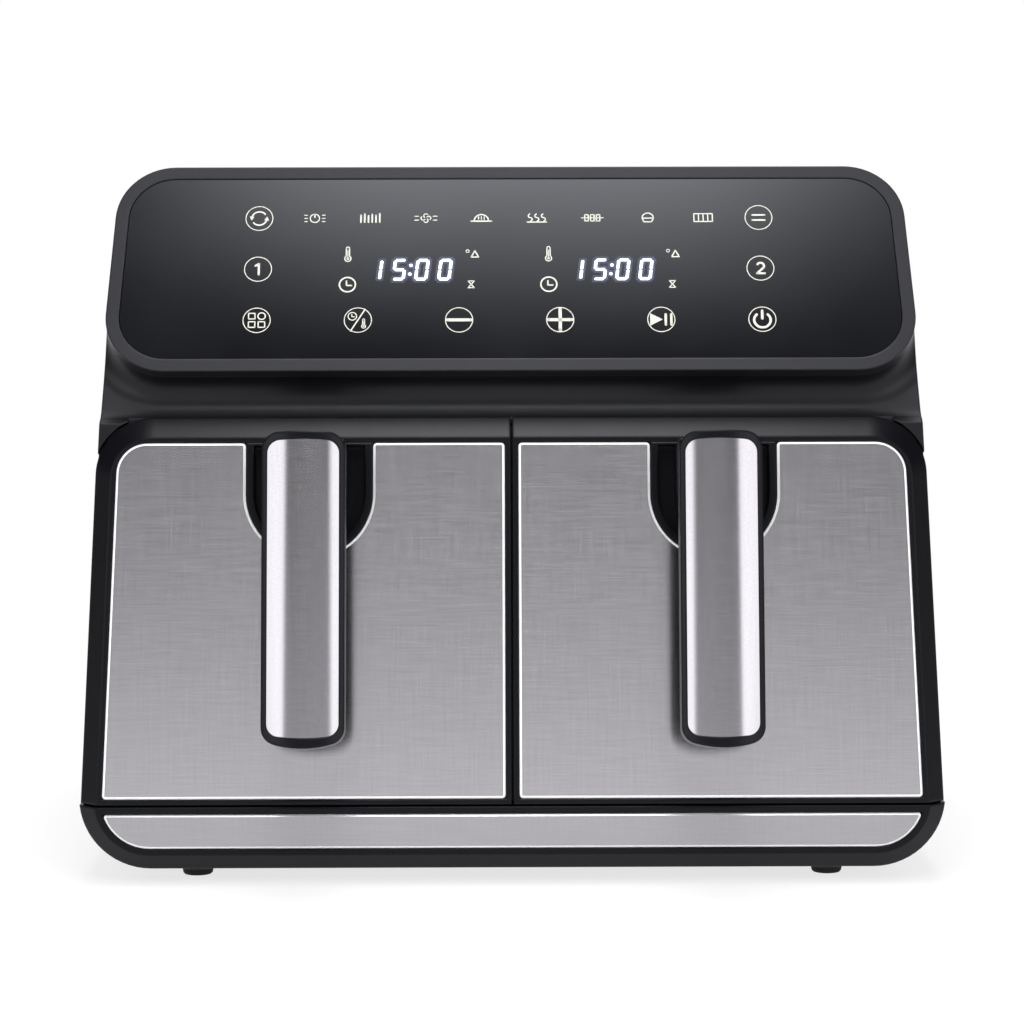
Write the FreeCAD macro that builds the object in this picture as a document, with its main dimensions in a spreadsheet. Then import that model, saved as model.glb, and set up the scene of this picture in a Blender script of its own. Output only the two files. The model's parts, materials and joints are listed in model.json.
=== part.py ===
import FreeCAD, Part
import math
import os
import Sketcher

# Two-basket air fryer, in millimetres. The front faces -Y, up is +Z, and the origin is on the
# floor under the middle of the whole object. Heights are world heights. Depths are measured
# back from the front of the base, which stands at FRONT.

doc = FreeCAD.newDocument("air_fryer")

# Driving sizes, lengths in millimetres and leans in degrees
SIZES = {
    # housing
    "base_width": 382,
    "body_depth": 320,
    "side_lean": 2,
    "head_lean": 3.2,
    "side_step": 1.3,
    "shell_wall": 2.6,
    "back_recess": 3,
    # base and feet
    "foot_height": 6.5,
    "foot_radius": 10,
    "foot_inset": 50,
    "foot_setback": 30,
    "base_height": 28.5,
    "base_corner": 31.5,
    "base_wall": 3.5,
    "edge_bevel": 7.4,
    "trim_inset": 10,
    "trim_drop": 3.1,
    "trim_thick": 1.4,
    "trim_bevel": 1,
    "trim_round": 1.5,
    # drawer fronts
    "front_lean": 11,
    "front_step": 0.5,
    "front_height": 173.5,
    "front_thick": 10,
    "front_corner": 26,
    "top_bevel": 9.8,
    "bevel_depth": 7,
    "seam": 1,
    "facing_border": 2.4,
    "facing_corner": 14,
    "facing_thick": 1.5,
    "facing_proud": 0.4,
    "facing_bevel": 1.1,
    "facing_round": 1.8,
    "socket_half": 28.1,
    "socket_lip": 3.5,
    "socket_straight": 23,
    "socket_floor": 2.5,
    # handles
    "handle_width": 35.7,
    "handle_length": 136,
    "handle_rise": -1.4,
    "handle_gap": 34,
    "handle_depth": 18,
    "handle_crown": 4,
    "handle_top_bow": 0.8,
    "handle_foot_bow": 3.8,
    "handle_corner": 7.5,
    "cover_border": 2.5,
    "cover_top": 3.6,
    "cover_foot": 4.5,
    "cover_foot_bow": 1.4,
    "cover_thick": 1.2,
    "neck_length": 38,
    # control panel
    "cove_radius": 11,
    "cove_tilt": 55,
    "panel_lean": 28,
    "panel_height": 103,
    "panel_corner": 27,
    "frame_depth": 6,
    "frame_border": 6,
    "glass_thick": 3,
    # cooking bays
    "centre_gap": 7,
    "side_gap": 18.6,
    "rear_gap": 37,
    "bay_floor": 44,
    "mouth_drop": 17.35,
    "chamber_height": 42,
    "chamber_front": 66,
    "sheet": 1,
    "rail_height": 2.5,
    # baskets and crisper plates
    "basket_front": 52,
    "basket_side_gap": 3.2,
    "basket_rear_gap": 6,
    "basket_drop": 23.2,
    "basket_corner": 16,
    "basket_bend": 6,
    "basket_wall": 1.2,
    "basket_rim": 4,
    "box_gap": 4.2,
    "plate_rise": 10,
    "plate_thick": 1.5,
    # fans, heaters and motors
    "shaft_radius": 3,
    "hot_fan_radius": 46,
    "cool_fan_radius": 41,
    "motor_radius": 30,
    "motor_height": 37,
    "heater_tube": 3.25,
}

sheet = doc.addObject("Spreadsheet::Sheet", "dims")
for row, (size_name, size) in enumerate(SIZES.items(), start=1):
    sheet.set(f"A{row}", size_name)
    sheet.set(f"B{row}", str(size))
    sheet.setAlias(f"B{row}", size_name)
doc.recompute()

# Small fits used all over, and how far a cut runs past what it cuts, in millimetres
FIT = 0.3
RUNNING_FIT = 0.05
PRESS_FIT = 0.15
OVERRUN = 5

# Sizes of bought-in pieces and of sheets that several places share, in millimetres
FRAME_THICK = 4
SHIELD_THICK = 1.2
BOARD_THICK = 1.6
BOX_WALL = 2.5
MOTOR_RISE = 9.5
GLAND_INSET = 50
GLAND_RISE = 28
GLAND_HOLE = 7

# Places worked out from the driving sizes, as expressions
HALF = "(dims.base_width / 2)"
BASE_TOP = "(dims.foot_height + dims.base_height)"
TRIM_TOP = f"({BASE_TOP} - dims.trim_drop)"
FACING_TOP = "(dims.front_height - dims.top_bevel - dims.facing_border)"
SOCKET_TURN = f"({FACING_TOP} - dims.socket_straight)"
HANDLE_FOOT = f"({FACING_TOP} + dims.handle_rise - dims.handle_length)"
REACH = (
    "((dims.handle_gap + dims.handle_depth) * cos(dims.front_lean)"
    f" - {HANDLE_FOOT} * sin(dims.front_lean))"
)
FRONT = f"(({REACH} - dims.body_depth) / 2)"
REAR_FACE = "(dims.body_depth - dims.back_recess)"
GLAND_X = f"({HALF} - {GLAND_INSET})"
GLAND_Z = f"({BASE_TOP} + {GLAND_RISE})"

# The ledge over the drawers, the cove above it and the control panel
BACK_PLANE = f"(dims.front_thick + {FIT})"
FRAME_BACK = f"({BACK_PLANE} + {FRAME_THICK})"
LEDGE_Y = f"(dims.front_height * sin(dims.front_lean) + {BACK_PLANE} * cos(dims.front_lean))"
LEDGE_Z = (
    f"({BASE_TOP} + dims.front_height * cos(dims.front_lean)"
    f" - {BACK_PLANE} * sin(dims.front_lean))"
)
SEAT_Y = f"({LEDGE_Y} + dims.cove_radius * (sin(dims.panel_lean) - cos(dims.cove_tilt)))"
SEAT_Z = f"({LEDGE_Z} + dims.cove_radius * (cos(dims.panel_lean) + sin(dims.cove_tilt)))"
PANEL_Y = f"({SEAT_Y} - dims.frame_depth * cos(dims.panel_lean))"
PANEL_Z = f"({SEAT_Z} + dims.frame_depth * sin(dims.panel_lean))"
POD_DEPTH = "(dims.frame_depth + dims.cove_radius)"
TOP = f"({SEAT_Z} + dims.panel_height * cos(dims.panel_lean))"

# The cooking bays, what slides into them and what stands on them
BAY_HALF = f"(({HALF} - dims.side_gap - dims.centre_gap) / 2)"
BAY_CENTRE = f"(dims.centre_gap + {BAY_HALF})"
LEFT_X = f"(-{BAY_CENTRE})"
BAY_BACK = "(dims.body_depth - dims.rear_gap)"
MOUTH_TOP = f"({LEDGE_Z} - dims.mouth_drop)"
BAY_CEILING = f"({MOUTH_TOP} + dims.chamber_height)"
BOX_HALF = f"({BAY_HALF} - dims.box_gap)"
BASKET_HALF = f"({BAY_HALF} - dims.basket_side_gap - dims.basket_rim)"
BASKET_END = f"({BAY_BACK} - dims.basket_rear_gap)"
BASKET_FLOOR = f"(dims.bay_floor + dims.rail_height + {FIT})"
RIM_Z = f"({MOUTH_TOP} - dims.basket_drop)"
PLATE_Z = f"({BASKET_FLOOR} + dims.basket_wall + dims.plate_rise)"
FAN_Y = f"((dims.basket_front + {BASKET_END}) / 2)"
DECK_Z = f"({BAY_CEILING} + dims.sheet)"
DECK_TOP = f"({DECK_Z} + {SHIELD_THICK})"
MOTOR_Z = f"({DECK_TOP} + {MOTOR_RISE})"
MOTOR_TOP = f"({MOTOR_Z} + dims.motor_height)"


def number(expression):
    """The value of an expression now."""
    return float(sheet.evalExpression(str(expression)))


def front_y(height, depth):
    """How far back the plane that lies 'depth' behind the drawer faces is at a height."""
    return f"(({height} - {BASE_TOP}) * tan(dims.front_lean) + ({depth}) / cos(dims.front_lean))"


def side_x(height, inset="0"):
    """Half the width of the housing at a height, less an inset. It leans in more above the cove."""
    lean = f"({height} - {BASE_TOP}) * tan(dims.side_lean)"
    more = f"max({height} - {SEAT_Z}; 0) * (tan(dims.head_lean) - tan(dims.side_lean))"
    return f"({HALF} - dims.side_step - {lean} - {more} - ({inset}))"


def housing_outline(low, high, inset):
    """The housing seen from the front between two heights, set in from its outside."""
    right = [(side_x(height, inset), height) for height in (low, SEAT_Z, high)]
    left = [(f"-{x}", height) for x, height in reversed(right)]
    return right + left


def front_edge(height, inset="0"):
    """The outer edge of the left drawer front at a height up its own slope, less an inset."""
    return f"(-({HALF} - dims.front_step - ({inset}) - ({height}) * tan(dims.side_lean)))"


def box_outline(left, right, low, high):
    """A rectangle as four corners."""
    return [(left, low), (right, low), (right, high), (left, high)]


def six_sides(x, y, reach):
    """A hexagon by its middle and the reach of its corners."""
    turns = [60 * side for side in range(6)]
    return [(f"{x} + {reach} * cos({turn})", f"{y} + {reach} * sin({turn})") for turn in turns]


def arc_between(start, end, radius):
    """The shorter arc between two points, to the left of the way for a plus radius."""
    chord = end.sub(start)
    middle = start.add(end).multiply(0.5)
    across = FreeCAD.Vector(-chord.y, chord.x, 0).normalize()
    away = math.sqrt(max(radius ** 2 - (chord.Length / 2) ** 2, 0))
    centre = middle.add(across.multiply(math.copysign(away, radius)))
    first, last = (start, end) if radius > 0 else (end, start)
    angles = [math.atan2(p.y - centre.y, p.x - centre.x) for p in (first, last)]
    circle = Part.Circle(centre, FreeCAD.Vector(0, 0, 1), abs(radius))
    return Part.ArcOfCircle(circle, *angles)


def draw_loop(sketch, outline):
    """A closed outline. A corner is (x, y), or (x, y, radius) where an arc leads to the next."""
    corners = [FreeCAD.Vector(number(c[0]), number(c[1]), 0) for c in outline]
    first = sketch.GeometryCount
    shapes, ends, limits = [], [], []
    for index, corner in enumerate(outline):
        start, end = corners[index], corners[(index + 1) % len(corners)]
        place = first + index
        turns_right = False
        if len(corner) == 3:
            radius = number(corner[2])
            turns_right = radius < 0
            shapes.append(arc_between(start, end, radius))
            limits.append((Sketcher.Constraint("Radius", place, abs(radius)), f"abs({corner[2]})"))
        else:
            shapes.append(Part.LineSegment(start, end))
        ends.append((2, 1) if turns_right else (1, 2))
        places = (("DistanceX", start.x, corner[0]), ("DistanceY", start.y, corner[1]))
        for kind, value, expression in places:
            limits.append((Sketcher.Constraint(kind, place, ends[index][0], value), expression))
    sketch.addGeometry(shapes, False)
    bind_limits(sketch, limits)
    sketch.addConstraint([
        Sketcher.Constraint(
            "Coincident", first + i, ends[i][1], first + (i + 1) % len(ends), ends[(i + 1) % len(ends)][0],
        )
        for i in range(len(ends))
    ])


def bind_limits(sketch, limits):
    """Adds constraints to a sketch, each held at the value of an expression."""
    row = sketch.ConstraintCount
    sketch.addConstraint([constraint for constraint, _ in limits])
    for index, (_, expression) in enumerate(limits):
        sketch.setExpression(f"Constraints[{row + index}]", str(expression))


def draw_circle(sketch, x, y, radius):
    """A circle by its centre and radius."""
    centre = FreeCAD.Vector(number(x), number(y), 0)
    circle = Part.Circle(centre, FreeCAD.Vector(0, 0, 1), number(radius))
    piece = sketch.addGeometry(circle, False)
    bind_limits(sketch, [
        (Sketcher.Constraint("DistanceX", piece, 3, centre.x), x),
        (Sketcher.Constraint("DistanceY", piece, 3, centre.y), y),
        (Sketcher.Constraint("Radius", piece, circle.Radius), radius),
    ])


def new_body(label, x="0", y="0", z="0", lean="0"):
    """An empty body whose own origin is 'y' behind the base's front, leaning back by 'lean'."""
    body = doc.addObject("PartDesign::Body", label)
    body.Label = label
    leaning = FreeCAD.Rotation(FreeCAD.Vector(-1, 0, 0), max(number(lean), 1))
    body.Placement = FreeCAD.Placement(FreeCAD.Vector(), leaning)
    body.setExpression("Placement.Rotation.Angle", lean)
    body.setExpression("Placement.Base.x", x)
    body.setExpression("Placement.Base.y", f"{FRONT} + {y}")
    body.setExpression("Placement.Base.z", z)
    return body


def fan_body(label):
    """A body whose own upright axis is the axis of the left fan."""
    return new_body(label, x=LEFT_X, y=FAN_Y)


def front_body(label):
    """A body that leans with the drawer faces, its own origin at the foot of those faces."""
    return new_body(label, z=BASE_TOP, lean="dims.front_lean")


def panel_body(label):
    """A body that leans with the control panel, its own origin at the foot of the panel."""
    return new_body(label, y=PANEL_Y, z=PANEL_Z, lean="dims.panel_lean")


def sketch_on(body, plane, loops, start):
    """A sketch of outlines and circles on an origin plane, moved along that plane's axis."""
    sketch = body.newObject("Sketcher::SketchObject", f"{body.Name}_sketch")
    support = [f for f in body.Origin.OriginFeatures if f.Role == f"{plane}_Plane"]
    sketch.AttachmentSupport = [(support[0], "")]
    sketch.MapMode = "FlatFace"
    sketch.setExpression("AttachmentOffset.Base.z", f"-({start})" if plane == "XZ" else str(start))
    for loop in loops:
        if isinstance(loop, dict):
            draw_circle(sketch, loop["x"], loop["y"], loop["radius"])
        else:
            draw_loop(sketch, loop)
    return sketch


def prism(body, plane, loops, start, length):
    """Outlines on a plane, padded by a length towards the plus side."""
    feature = body.newObject("PartDesign::Pad", f"{body.Name}_pad")
    feature.Profile = sketch_on(body, plane, loops, start)
    feature.Reversed = plane == "XZ"
    feature.setExpression("Length", str(length))
    return feature


def pocket(body, plane, loops, start, length):
    """Outlines on a plane, cut away by a length towards the plus side."""
    feature = body.newObject("PartDesign::Pocket", f"{body.Name}_pocket")
    feature.Profile = sketch_on(body, plane, loops, start)
    feature.Reversed = plane != "XZ"
    feature.setExpression("Length", str(length))
    return feature


def origin_axis(body, axis):
    """One of the axes of a body's own origin."""
    return [f for f in body.Origin.OriginFeatures if f.Role == f"{axis}_Axis"][0]


def repeat_round(body, feature, count):
    """Repeats a feature in a full circle round the body's upright axis."""
    pattern = body.newObject("PartDesign::PolarPattern", f"{body.Name}_ring")
    pattern.Originals = [feature]
    pattern.Axis = (origin_axis(body, "Z"), [""])
    pattern.Angle = 360
    pattern.Occurrences = count
    body.Tip = pattern


def repeat_along(body, feature, axis, pitch, count):
    """Repeats a feature in a row along one of the body's axes."""
    pattern = body.newObject("PartDesign::LinearPattern", f"{body.Name}_row")
    pattern.Originals = [feature]
    pattern.Direction = (origin_axis(body, axis), [""])
    pattern.Length = pitch * (count - 1)
    pattern.Occurrences = count
    body.Tip = pattern


def turned(body, profile):
    """A half profile of (radius, height) corners, turned round the body's upright axis."""
    feature = body.newObject("PartDesign::Revolution", f"{body.Name}_turning")
    feature.Profile = sketch_on(body, "XZ", [profile], "0")
    feature.ReferenceAxis = (origin_axis(body, "Z"), [""])
    feature.Angle = 360
    return feature


def pick_edges(body, wanted):
    """Names of the edges of a body's last feature that a test accepts."""
    doc.recompute()
    return [f"Edge{i}" for i, edge in enumerate(body.Tip.Shape.Edges, start=1) if wanted(edge)]


def round_edges(body, radius, wanted):
    """Rounds the edges that a test accepts."""
    names = pick_edges(body, wanted)
    base = body.Tip
    feature = body.newObject("PartDesign::Fillet", f"{body.Name}_round")
    feature.Base = (base, names)
    feature.setExpression("Radius", str(radius))


def bevel_edges(body, width, wanted):
    """Bevels the edges that a test accepts."""
    names = pick_edges(body, wanted)
    base = body.Tip
    feature = body.newObject("PartDesign::Chamfer", f"{body.Name}_bevel")
    feature.Base = (base, names)
    feature.setExpression("Size", str(width))


def runs_along(edge, axis):
    """Whether an edge is straight along one of the axes."""
    if not isinstance(edge.Curve, (Part.Line, Part.LineSegment)):
        return False
    return abs(getattr(edge.tangentAt(edge.FirstParameter), axis)) > 0.999


def lies_at(edge, axis, value):
    """Whether the whole of an edge lies at one place along an axis."""
    low, high = getattr(edge.BoundBox, axis.upper() + "Min"), getattr(edge.BoundBox, axis.upper() + "Max")
    return abs(low - value) < 0.01 and abs(high - value) < 0.01


def stands_at(edge, corners):
    """Whether an edge runs front to back at one of some corners of an outline."""
    if not runs_along(edge, "y"):
        return False
    place = edge.CenterOfMass
    return any(
        abs(place.x - number(x)) < 0.01 and abs(place.z - number(z)) < 0.01 for x, z in corners
    )


def block(name, x, y, z, length, width, height):
    """A box by its low corner and sizes, y measured from the base's front."""
    box = doc.addObject("Part::Box", name)
    for prop, expression in (
        ("Length", length),
        ("Width", width),
        ("Height", height),
        ("Placement.Base.x", x),
        ("Placement.Base.y", f"{FRONT} + {y}"),
        ("Placement.Base.z", z),
    ):
        box.setExpression(prop, str(expression))
    return box


def post(name, x, y, z, radius, height):
    """An upright round bar by the middle of its foot."""
    bar = doc.addObject("Part::Cylinder", name)
    for prop, expression in (
        ("Radius", radius),
        ("Height", height),
        ("Placement.Base.x", x),
        ("Placement.Base.y", f"{FRONT} + {y}"),
        ("Placement.Base.z", z),
    ):
        bar.setExpression(prop, str(expression))
    return bar


def joined(name, pieces):
    """Pieces fused into one."""
    fuse = doc.addObject("Part::MultiFuse", name)
    fuse.Shapes = pieces
    return fuse


def cut_from(name, base, tools):
    """A piece less one or more tools."""
    cut = doc.addObject("Part::Cut", name)
    cut.Base = base
    cut.Tool = tools[0] if len(tools) == 1 else joined(f"{name}_tools", tools)
    return cut


def shared(name, first, second):
    """What two pieces have in common."""
    common = doc.addObject("Part::Common", name)
    common.Base = first
    common.Tool = second
    return common


def grouped(name, pieces):
    """Separate pieces kept together as one group."""
    group = doc.addObject("Part::Compound", name)
    group.Links = pieces
    return group


def mirrored(name, source):
    """The right-hand twin of a left-hand piece."""
    twin = doc.addObject("Part::Mirroring", name)
    twin.Source = source
    twin.Base = FreeCAD.Vector(0, 0, 0)
    twin.Normal = FreeCAD.Vector(1, 0, 0)
    return twin


# Housing

def housing_block(label, inset, low, high, back):
    """The tapered block of the housing with round top corners, set in from its outside."""
    body = new_body(label)
    prism(body, "XZ", [housing_outline(low, high, inset)], "0", back)
    crest = number(high)
    round_edges(
        body,
        f"dims.panel_corner - {inset}",
        lambda e: runs_along(e, "y") and lies_at(e, "z", crest),
    )
    return body


def slope_y(height, depth):
    """How far back the plane 'depth' behind the panel's face is at a height."""
    return (
        f"({PANEL_Y} + ({height} - {PANEL_Z}) * tan(dims.panel_lean)"
        f" + ({depth}) / cos(dims.panel_lean))"
    )


def make_corner_fill():
    """The front of the shell that shows outside the round top corner of the left drawer."""
    body = front_body("corner_fill_left")
    high = "dims.front_height"
    reach = "(dims.front_corner + dims.seam)"
    middle_x = f"({front_edge(high)} + dims.front_corner / tan(45 + dims.side_lean / 2))"
    middle_z = f"({high} - dims.front_corner)"

    def edge(height):
        rise = f"(({height}) * cos(dims.front_lean) - {BACK_PLANE} * sin(dims.front_lean))"
        return f"(-({HALF} - dims.side_step - {rise} * tan(dims.side_lean)))"

    def on_round(x):
        return f"({middle_z} + sqrt({reach}^2 - ({middle_x} - {x})^2))"

    start_share, side_share = 0.45, 0.67
    start = f"({middle_x} - {start_share} * dims.front_corner)"
    side = edge(f"{high} - {side_share} * dims.front_corner")
    outline = [
        (start, high),
        (edge(high), high),
        (side, on_round(side), f"-{reach}"),
        (start, on_round(start)),
    ]
    thick = f"({BACK_PLANE} - dims.bevel_depth)"
    prism(body, "XZ", [outline], "dims.bevel_depth", thick)
    crest, front = number(high), number("dims.bevel_depth")
    land = 0.5
    bevel_edges(body, f"{thick} - {land}", lambda e: lies_at(e, "z", crest) and lies_at(e, "y", front))
    return body


def make_pod_corner():
    """A tool that carries the upper half of the cove round the panel's lower right corner."""
    bend = "dims.panel_corner"
    middle = f"({side_x(PANEL_Z)} - {bend} / tan(45 - dims.head_lean / 2))"
    reach = "(dims.panel_corner + dims.cove_radius)"
    clear = f"({reach} + {8 * OVERRUN})"
    sweep = panel_body("pod_corner_sweep")
    section = [
        (bend, f"-{OVERRUN}"),
        (clear, f"-{OVERRUN}"),
        (clear, POD_DEPTH),
        (reach, POD_DEPTH, "dims.cove_radius"),
        (bend, "dims.frame_depth"),
    ]
    profile = sketch_on(sweep, "XY", [section], bend)
    profile.setExpression("AttachmentOffset.Base.x", middle)
    ring = sweep.newObject("PartDesign::Revolution", "pod_corner_ring")
    ring.Profile = profile
    ring.ReferenceAxis = (profile, ["V_Axis"])
    ring.Angle = 360

    quarter = panel_body("pod_corner_quarter")
    limits = box_outline(middle, f"{middle} + {clear}", "-dims.cove_radius", bend)
    prism(quarter, "XZ", [limits], f"-{2 * OVERRUN}", f"{POD_DEPTH} + {4 * OVERRUN}")
    return shared("pod_corner_right", sweep, quarter)


# The window in the shell behind the control panel
WINDOW_SIDE_GAP = 25
WINDOW_MARGIN = 8


def make_housing_shell():
    outer = housing_block("housing_outside", "0", BASE_TOP, TOP, "dims.body_depth")
    clear = "200"
    ahead = f"-{clear}"
    above = f"({TOP} + {clear})"
    front_gap = [
        (ahead, f"{BASE_TOP} - 1"),
        (front_y(f"({BASE_TOP} - 1)", BACK_PLANE), f"{BASE_TOP} - 1"),
        (LEDGE_Y, LEDGE_Z, "dims.cove_radius"),
        (SEAT_Y, SEAT_Z),
        (slope_y(above, "dims.frame_depth"), above),
        (ahead, above),
    ]
    pocket(outer, "YZ", [front_gap], f"-{HALF} - {2 * OVERRUN}", f"dims.base_width + {4 * OVERRUN}")
    rear = number("dims.body_depth")
    round_edges(
        outer,
        "dims.back_recess",
        lambda e: lies_at(e, "y", rear) and e.BoundBox.ZMax > number(BASE_TOP) + 1,
    )

    inner = housing_block(
        "housing_inside", "dims.shell_wall", f"({BASE_TOP} - {OVERRUN})", f"({TOP} - dims.shell_wall)",
        f"dims.body_depth + {OVERRUN}",
    )
    under_ledge = f"({LEDGE_Z} - dims.shell_wall)"
    behind_cove = f"({SEAT_Y} + dims.cove_radius * (1 - sin(dims.panel_lean)) + dims.shell_wall)"
    behind_pod = f"({POD_DEPTH} + dims.shell_wall)"
    knee = (
        f"({PANEL_Z} + ({behind_cove} - {PANEL_Y}) / tan(dims.panel_lean)"
        f" - {behind_pod} / sin(dims.panel_lean))"
    )
    front_wall = [
        (ahead, under_ledge),
        (behind_cove, under_ledge),
        (behind_cove, knee),
        (slope_y(above, behind_pod), above),
        (ahead, above),
    ]
    pocket(inner, "YZ", [front_wall], f"-{HALF} - {2 * OVERRUN}", f"dims.base_width + {4 * OVERRUN}")

    window = panel_body("board_window")
    window_half = f"({side_x(TOP)} - {WINDOW_SIDE_GAP})"
    margin = f"(dims.frame_border + {WINDOW_MARGIN})"
    loops = [box_outline(f"-{window_half}", window_half, margin, f"dims.panel_height - {margin}")]
    prism(window, "XZ", loops, "0", f"{POD_DEPTH} + {4 * OVERRUN}")
    corner = make_pod_corner()
    corners = [corner, mirrored("pod_corner_left", corner)]
    hollow = cut_from("housing_hollow", outer, [inner, window, *corners])
    fill = make_corner_fill()
    return joined("housing_shell", [hollow, fill, mirrored("corner_fill_right", fill)])


def panel_outline(inset, low, high, corner):
    """Round-cornered outline in the panel's own plane, its sides leaning with the housing."""
    fall = "tan(dims.head_lean) * cos(dims.panel_lean)"
    wide = f"({side_x(PANEL_Z)} - {inset})"

    def edge(height):
        return f"({wide} - ({height}) * {fall})"

    lower_run = f"({corner}) / tan(45 - dims.head_lean / 2)"
    upper_run = f"({corner}) / tan(45 + dims.head_lean / 2)"
    low_side = f"({low} + {lower_run})"
    high_side = f"({high} - {upper_run})"
    return [
        (f"-{edge(low)} + {lower_run}", low),
        (f"{edge(low)} - {lower_run}", low, corner),
        (edge(low_side), low_side),
        (edge(high_side), high_side, corner),
        (f"{edge(high)} - {upper_run}", high),
        (f"-{edge(high)} + {upper_run}", high, corner),
        (f"-{edge(high_side)}", high_side),
        (f"-{edge(low_side)}", low_side, corner),
    ]


# What sits behind the panel frame: the glass seat, the bosses that carry the board on short arms,
# the board itself and the two displays
GLASS_SINK = 0.4
SEAT_WIDTH = 4
BOARD_STANDOFF = 5
BOSS_X = 118
BOSS_HALF = 4
BOSS_INSET = 12.5
ARM_INSET = 2
ARM_LENGTH = 15
PANEL_BOARD_HALF = 126
PANEL_BOARD_INSET = 9
DISPLAY_PLACES = (-42, 48)
DISPLAY_HALF_WIDTH = 23
DISPLAY_HALF_HEIGHT = 9
GLASS_SEAT = f"(dims.glass_thick + {GLASS_SINK})"
BOARD_DEPTH = f"(dims.frame_depth + {BOARD_STANDOFF})"


def panel_inside(extra):
    """Outline inside the panel frame, 'extra' in from the frame's inner edge."""
    inset = f"(dims.frame_border + {extra})"
    corner = f"(dims.panel_corner - dims.frame_border - {extra})"
    return panel_outline(inset, inset, f"(dims.panel_height - {inset})", corner)


def make_panel_frame():
    body = panel_body("panel_frame")
    prism(
        body, "XZ", [panel_outline("0", "0", "dims.panel_height", "dims.panel_corner")],
        "0", "dims.frame_depth",
    )
    pocket(body, "XZ", [panel_inside("0")], "0", GLASS_SEAT)
    pocket(body, "XZ", [panel_inside(SEAT_WIDTH)], "0", "dims.frame_depth")
    inner_top = "dims.panel_height - dims.frame_border"
    boss_heights = (f"dims.frame_border + {BOSS_INSET}", f"{inner_top} - {BOSS_INSET}")
    arm_feet = (f"dims.frame_border + {ARM_INSET}", f"{inner_top} - {ARM_INSET + ARM_LENGTH}")
    bosses = []
    for side in (-1, 1):
        left, right = f"{side * BOSS_X} - {BOSS_HALF}", f"{side * BOSS_X} + {BOSS_HALF}"
        for height in boss_heights:
            bosses.append(box_outline(left, right, f"{height} - {BOSS_HALF}", f"{height} + {BOSS_HALF}"))
    arms = []
    for foot in arm_feet:
        for side in (-1, 1):
            left, right = f"{side * BOSS_X} - {BOSS_HALF}", f"{side * BOSS_X} + {BOSS_HALF}"
            arms.append(box_outline(left, right, foot, f"{foot} + {ARM_LENGTH}"))
    prism(body, "XZ", arms, GLASS_SEAT, f"dims.frame_depth - {GLASS_SEAT}")
    prism(body, "XZ", bosses, GLASS_SEAT, f"{BOARD_DEPTH} - {GLASS_SEAT}")
    return body


def make_control_glass():
    body = panel_body("control_glass")
    prism(body, "XZ", [panel_inside(str(FIT))], f"{GLASS_SEAT} - dims.glass_thick", "dims.glass_thick")
    return body


def make_control_board():
    body = panel_body("control_board")
    margin = f"(dims.frame_border + {PANEL_BOARD_INSET})"
    loop = box_outline(
        -PANEL_BOARD_HALF, PANEL_BOARD_HALF, margin, f"dims.panel_height - {margin}",
    )
    prism(body, "XZ", [loop], BOARD_DEPTH, BOARD_THICK)
    return body


def make_led_displays():
    body = panel_body("led_displays")
    middle = "dims.panel_height / 2"
    low, high = f"{middle} - {DISPLAY_HALF_HEIGHT}", f"{middle} + {DISPLAY_HALF_HEIGHT}"
    loops = [
        box_outline(f"{x} - {DISPLAY_HALF_WIDTH}", f"{x} + {DISPLAY_HALF_WIDTH}", low, high)
        for x in DISPLAY_PLACES
    ]
    body.AllowCompound = True
    prism(body, "XZ", loops, f"{GLASS_SEAT} + {FIT}", f"{BOARD_DEPTH} - {GLASS_SEAT} - {FIT}")
    return body


def make_front_frame():
    body = front_body("front_frame")
    upright = "cos(dims.front_lean)"
    high = f"(dims.front_height - (dims.shell_wall + {FIT}) / {upright} - 1)"

    def edge(height):
        return f"({HALF} - dims.side_step - dims.shell_wall - {FIT} - ({height}) * tan(dims.side_lean))"

    low = f"({FRAME_BACK} * tan(dims.front_lean))"
    outline = [(f"-{edge(low)}", low), (edge(low), low), (edge(high), high), (f"-{edge(high)}", high)]
    prism(body, "XZ", [outline], BACK_PLANE, f"{FRAME_BACK} - {BACK_PLANE}")
    drop = f"{FRAME_BACK} * sin(dims.front_lean)"
    low_edge = f"((dims.bay_floor - {BASE_TOP} + {drop}) / {upright})"
    high_edge = f"(({MOUTH_TOP} - {BASE_TOP} + {drop}) / {upright} - 0.5)"
    mouths = [
        box_outline(f"{x} - {BAY_HALF}", f"{x} + {BAY_HALF}", low_edge, high_edge)
        for x in (LEFT_X, BAY_CENTRE)
    ]
    pocket(body, "XZ", mouths, "0", f"{FRAME_BACK} + {OVERRUN}")
    return body


# Vents in the rear cover: outlets behind the ducts and inlets under the top
VENT_HEIGHT = 4
OUTLET_DROP = 34
OUTLET_HALF = 36
OUTLET_PITCH = 7.5
OUTLET_ROWS = 4
INLET_DROP = 60
INLET_HALF = 60
INLET_PITCH = 8
INLET_ROWS = 5


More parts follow.
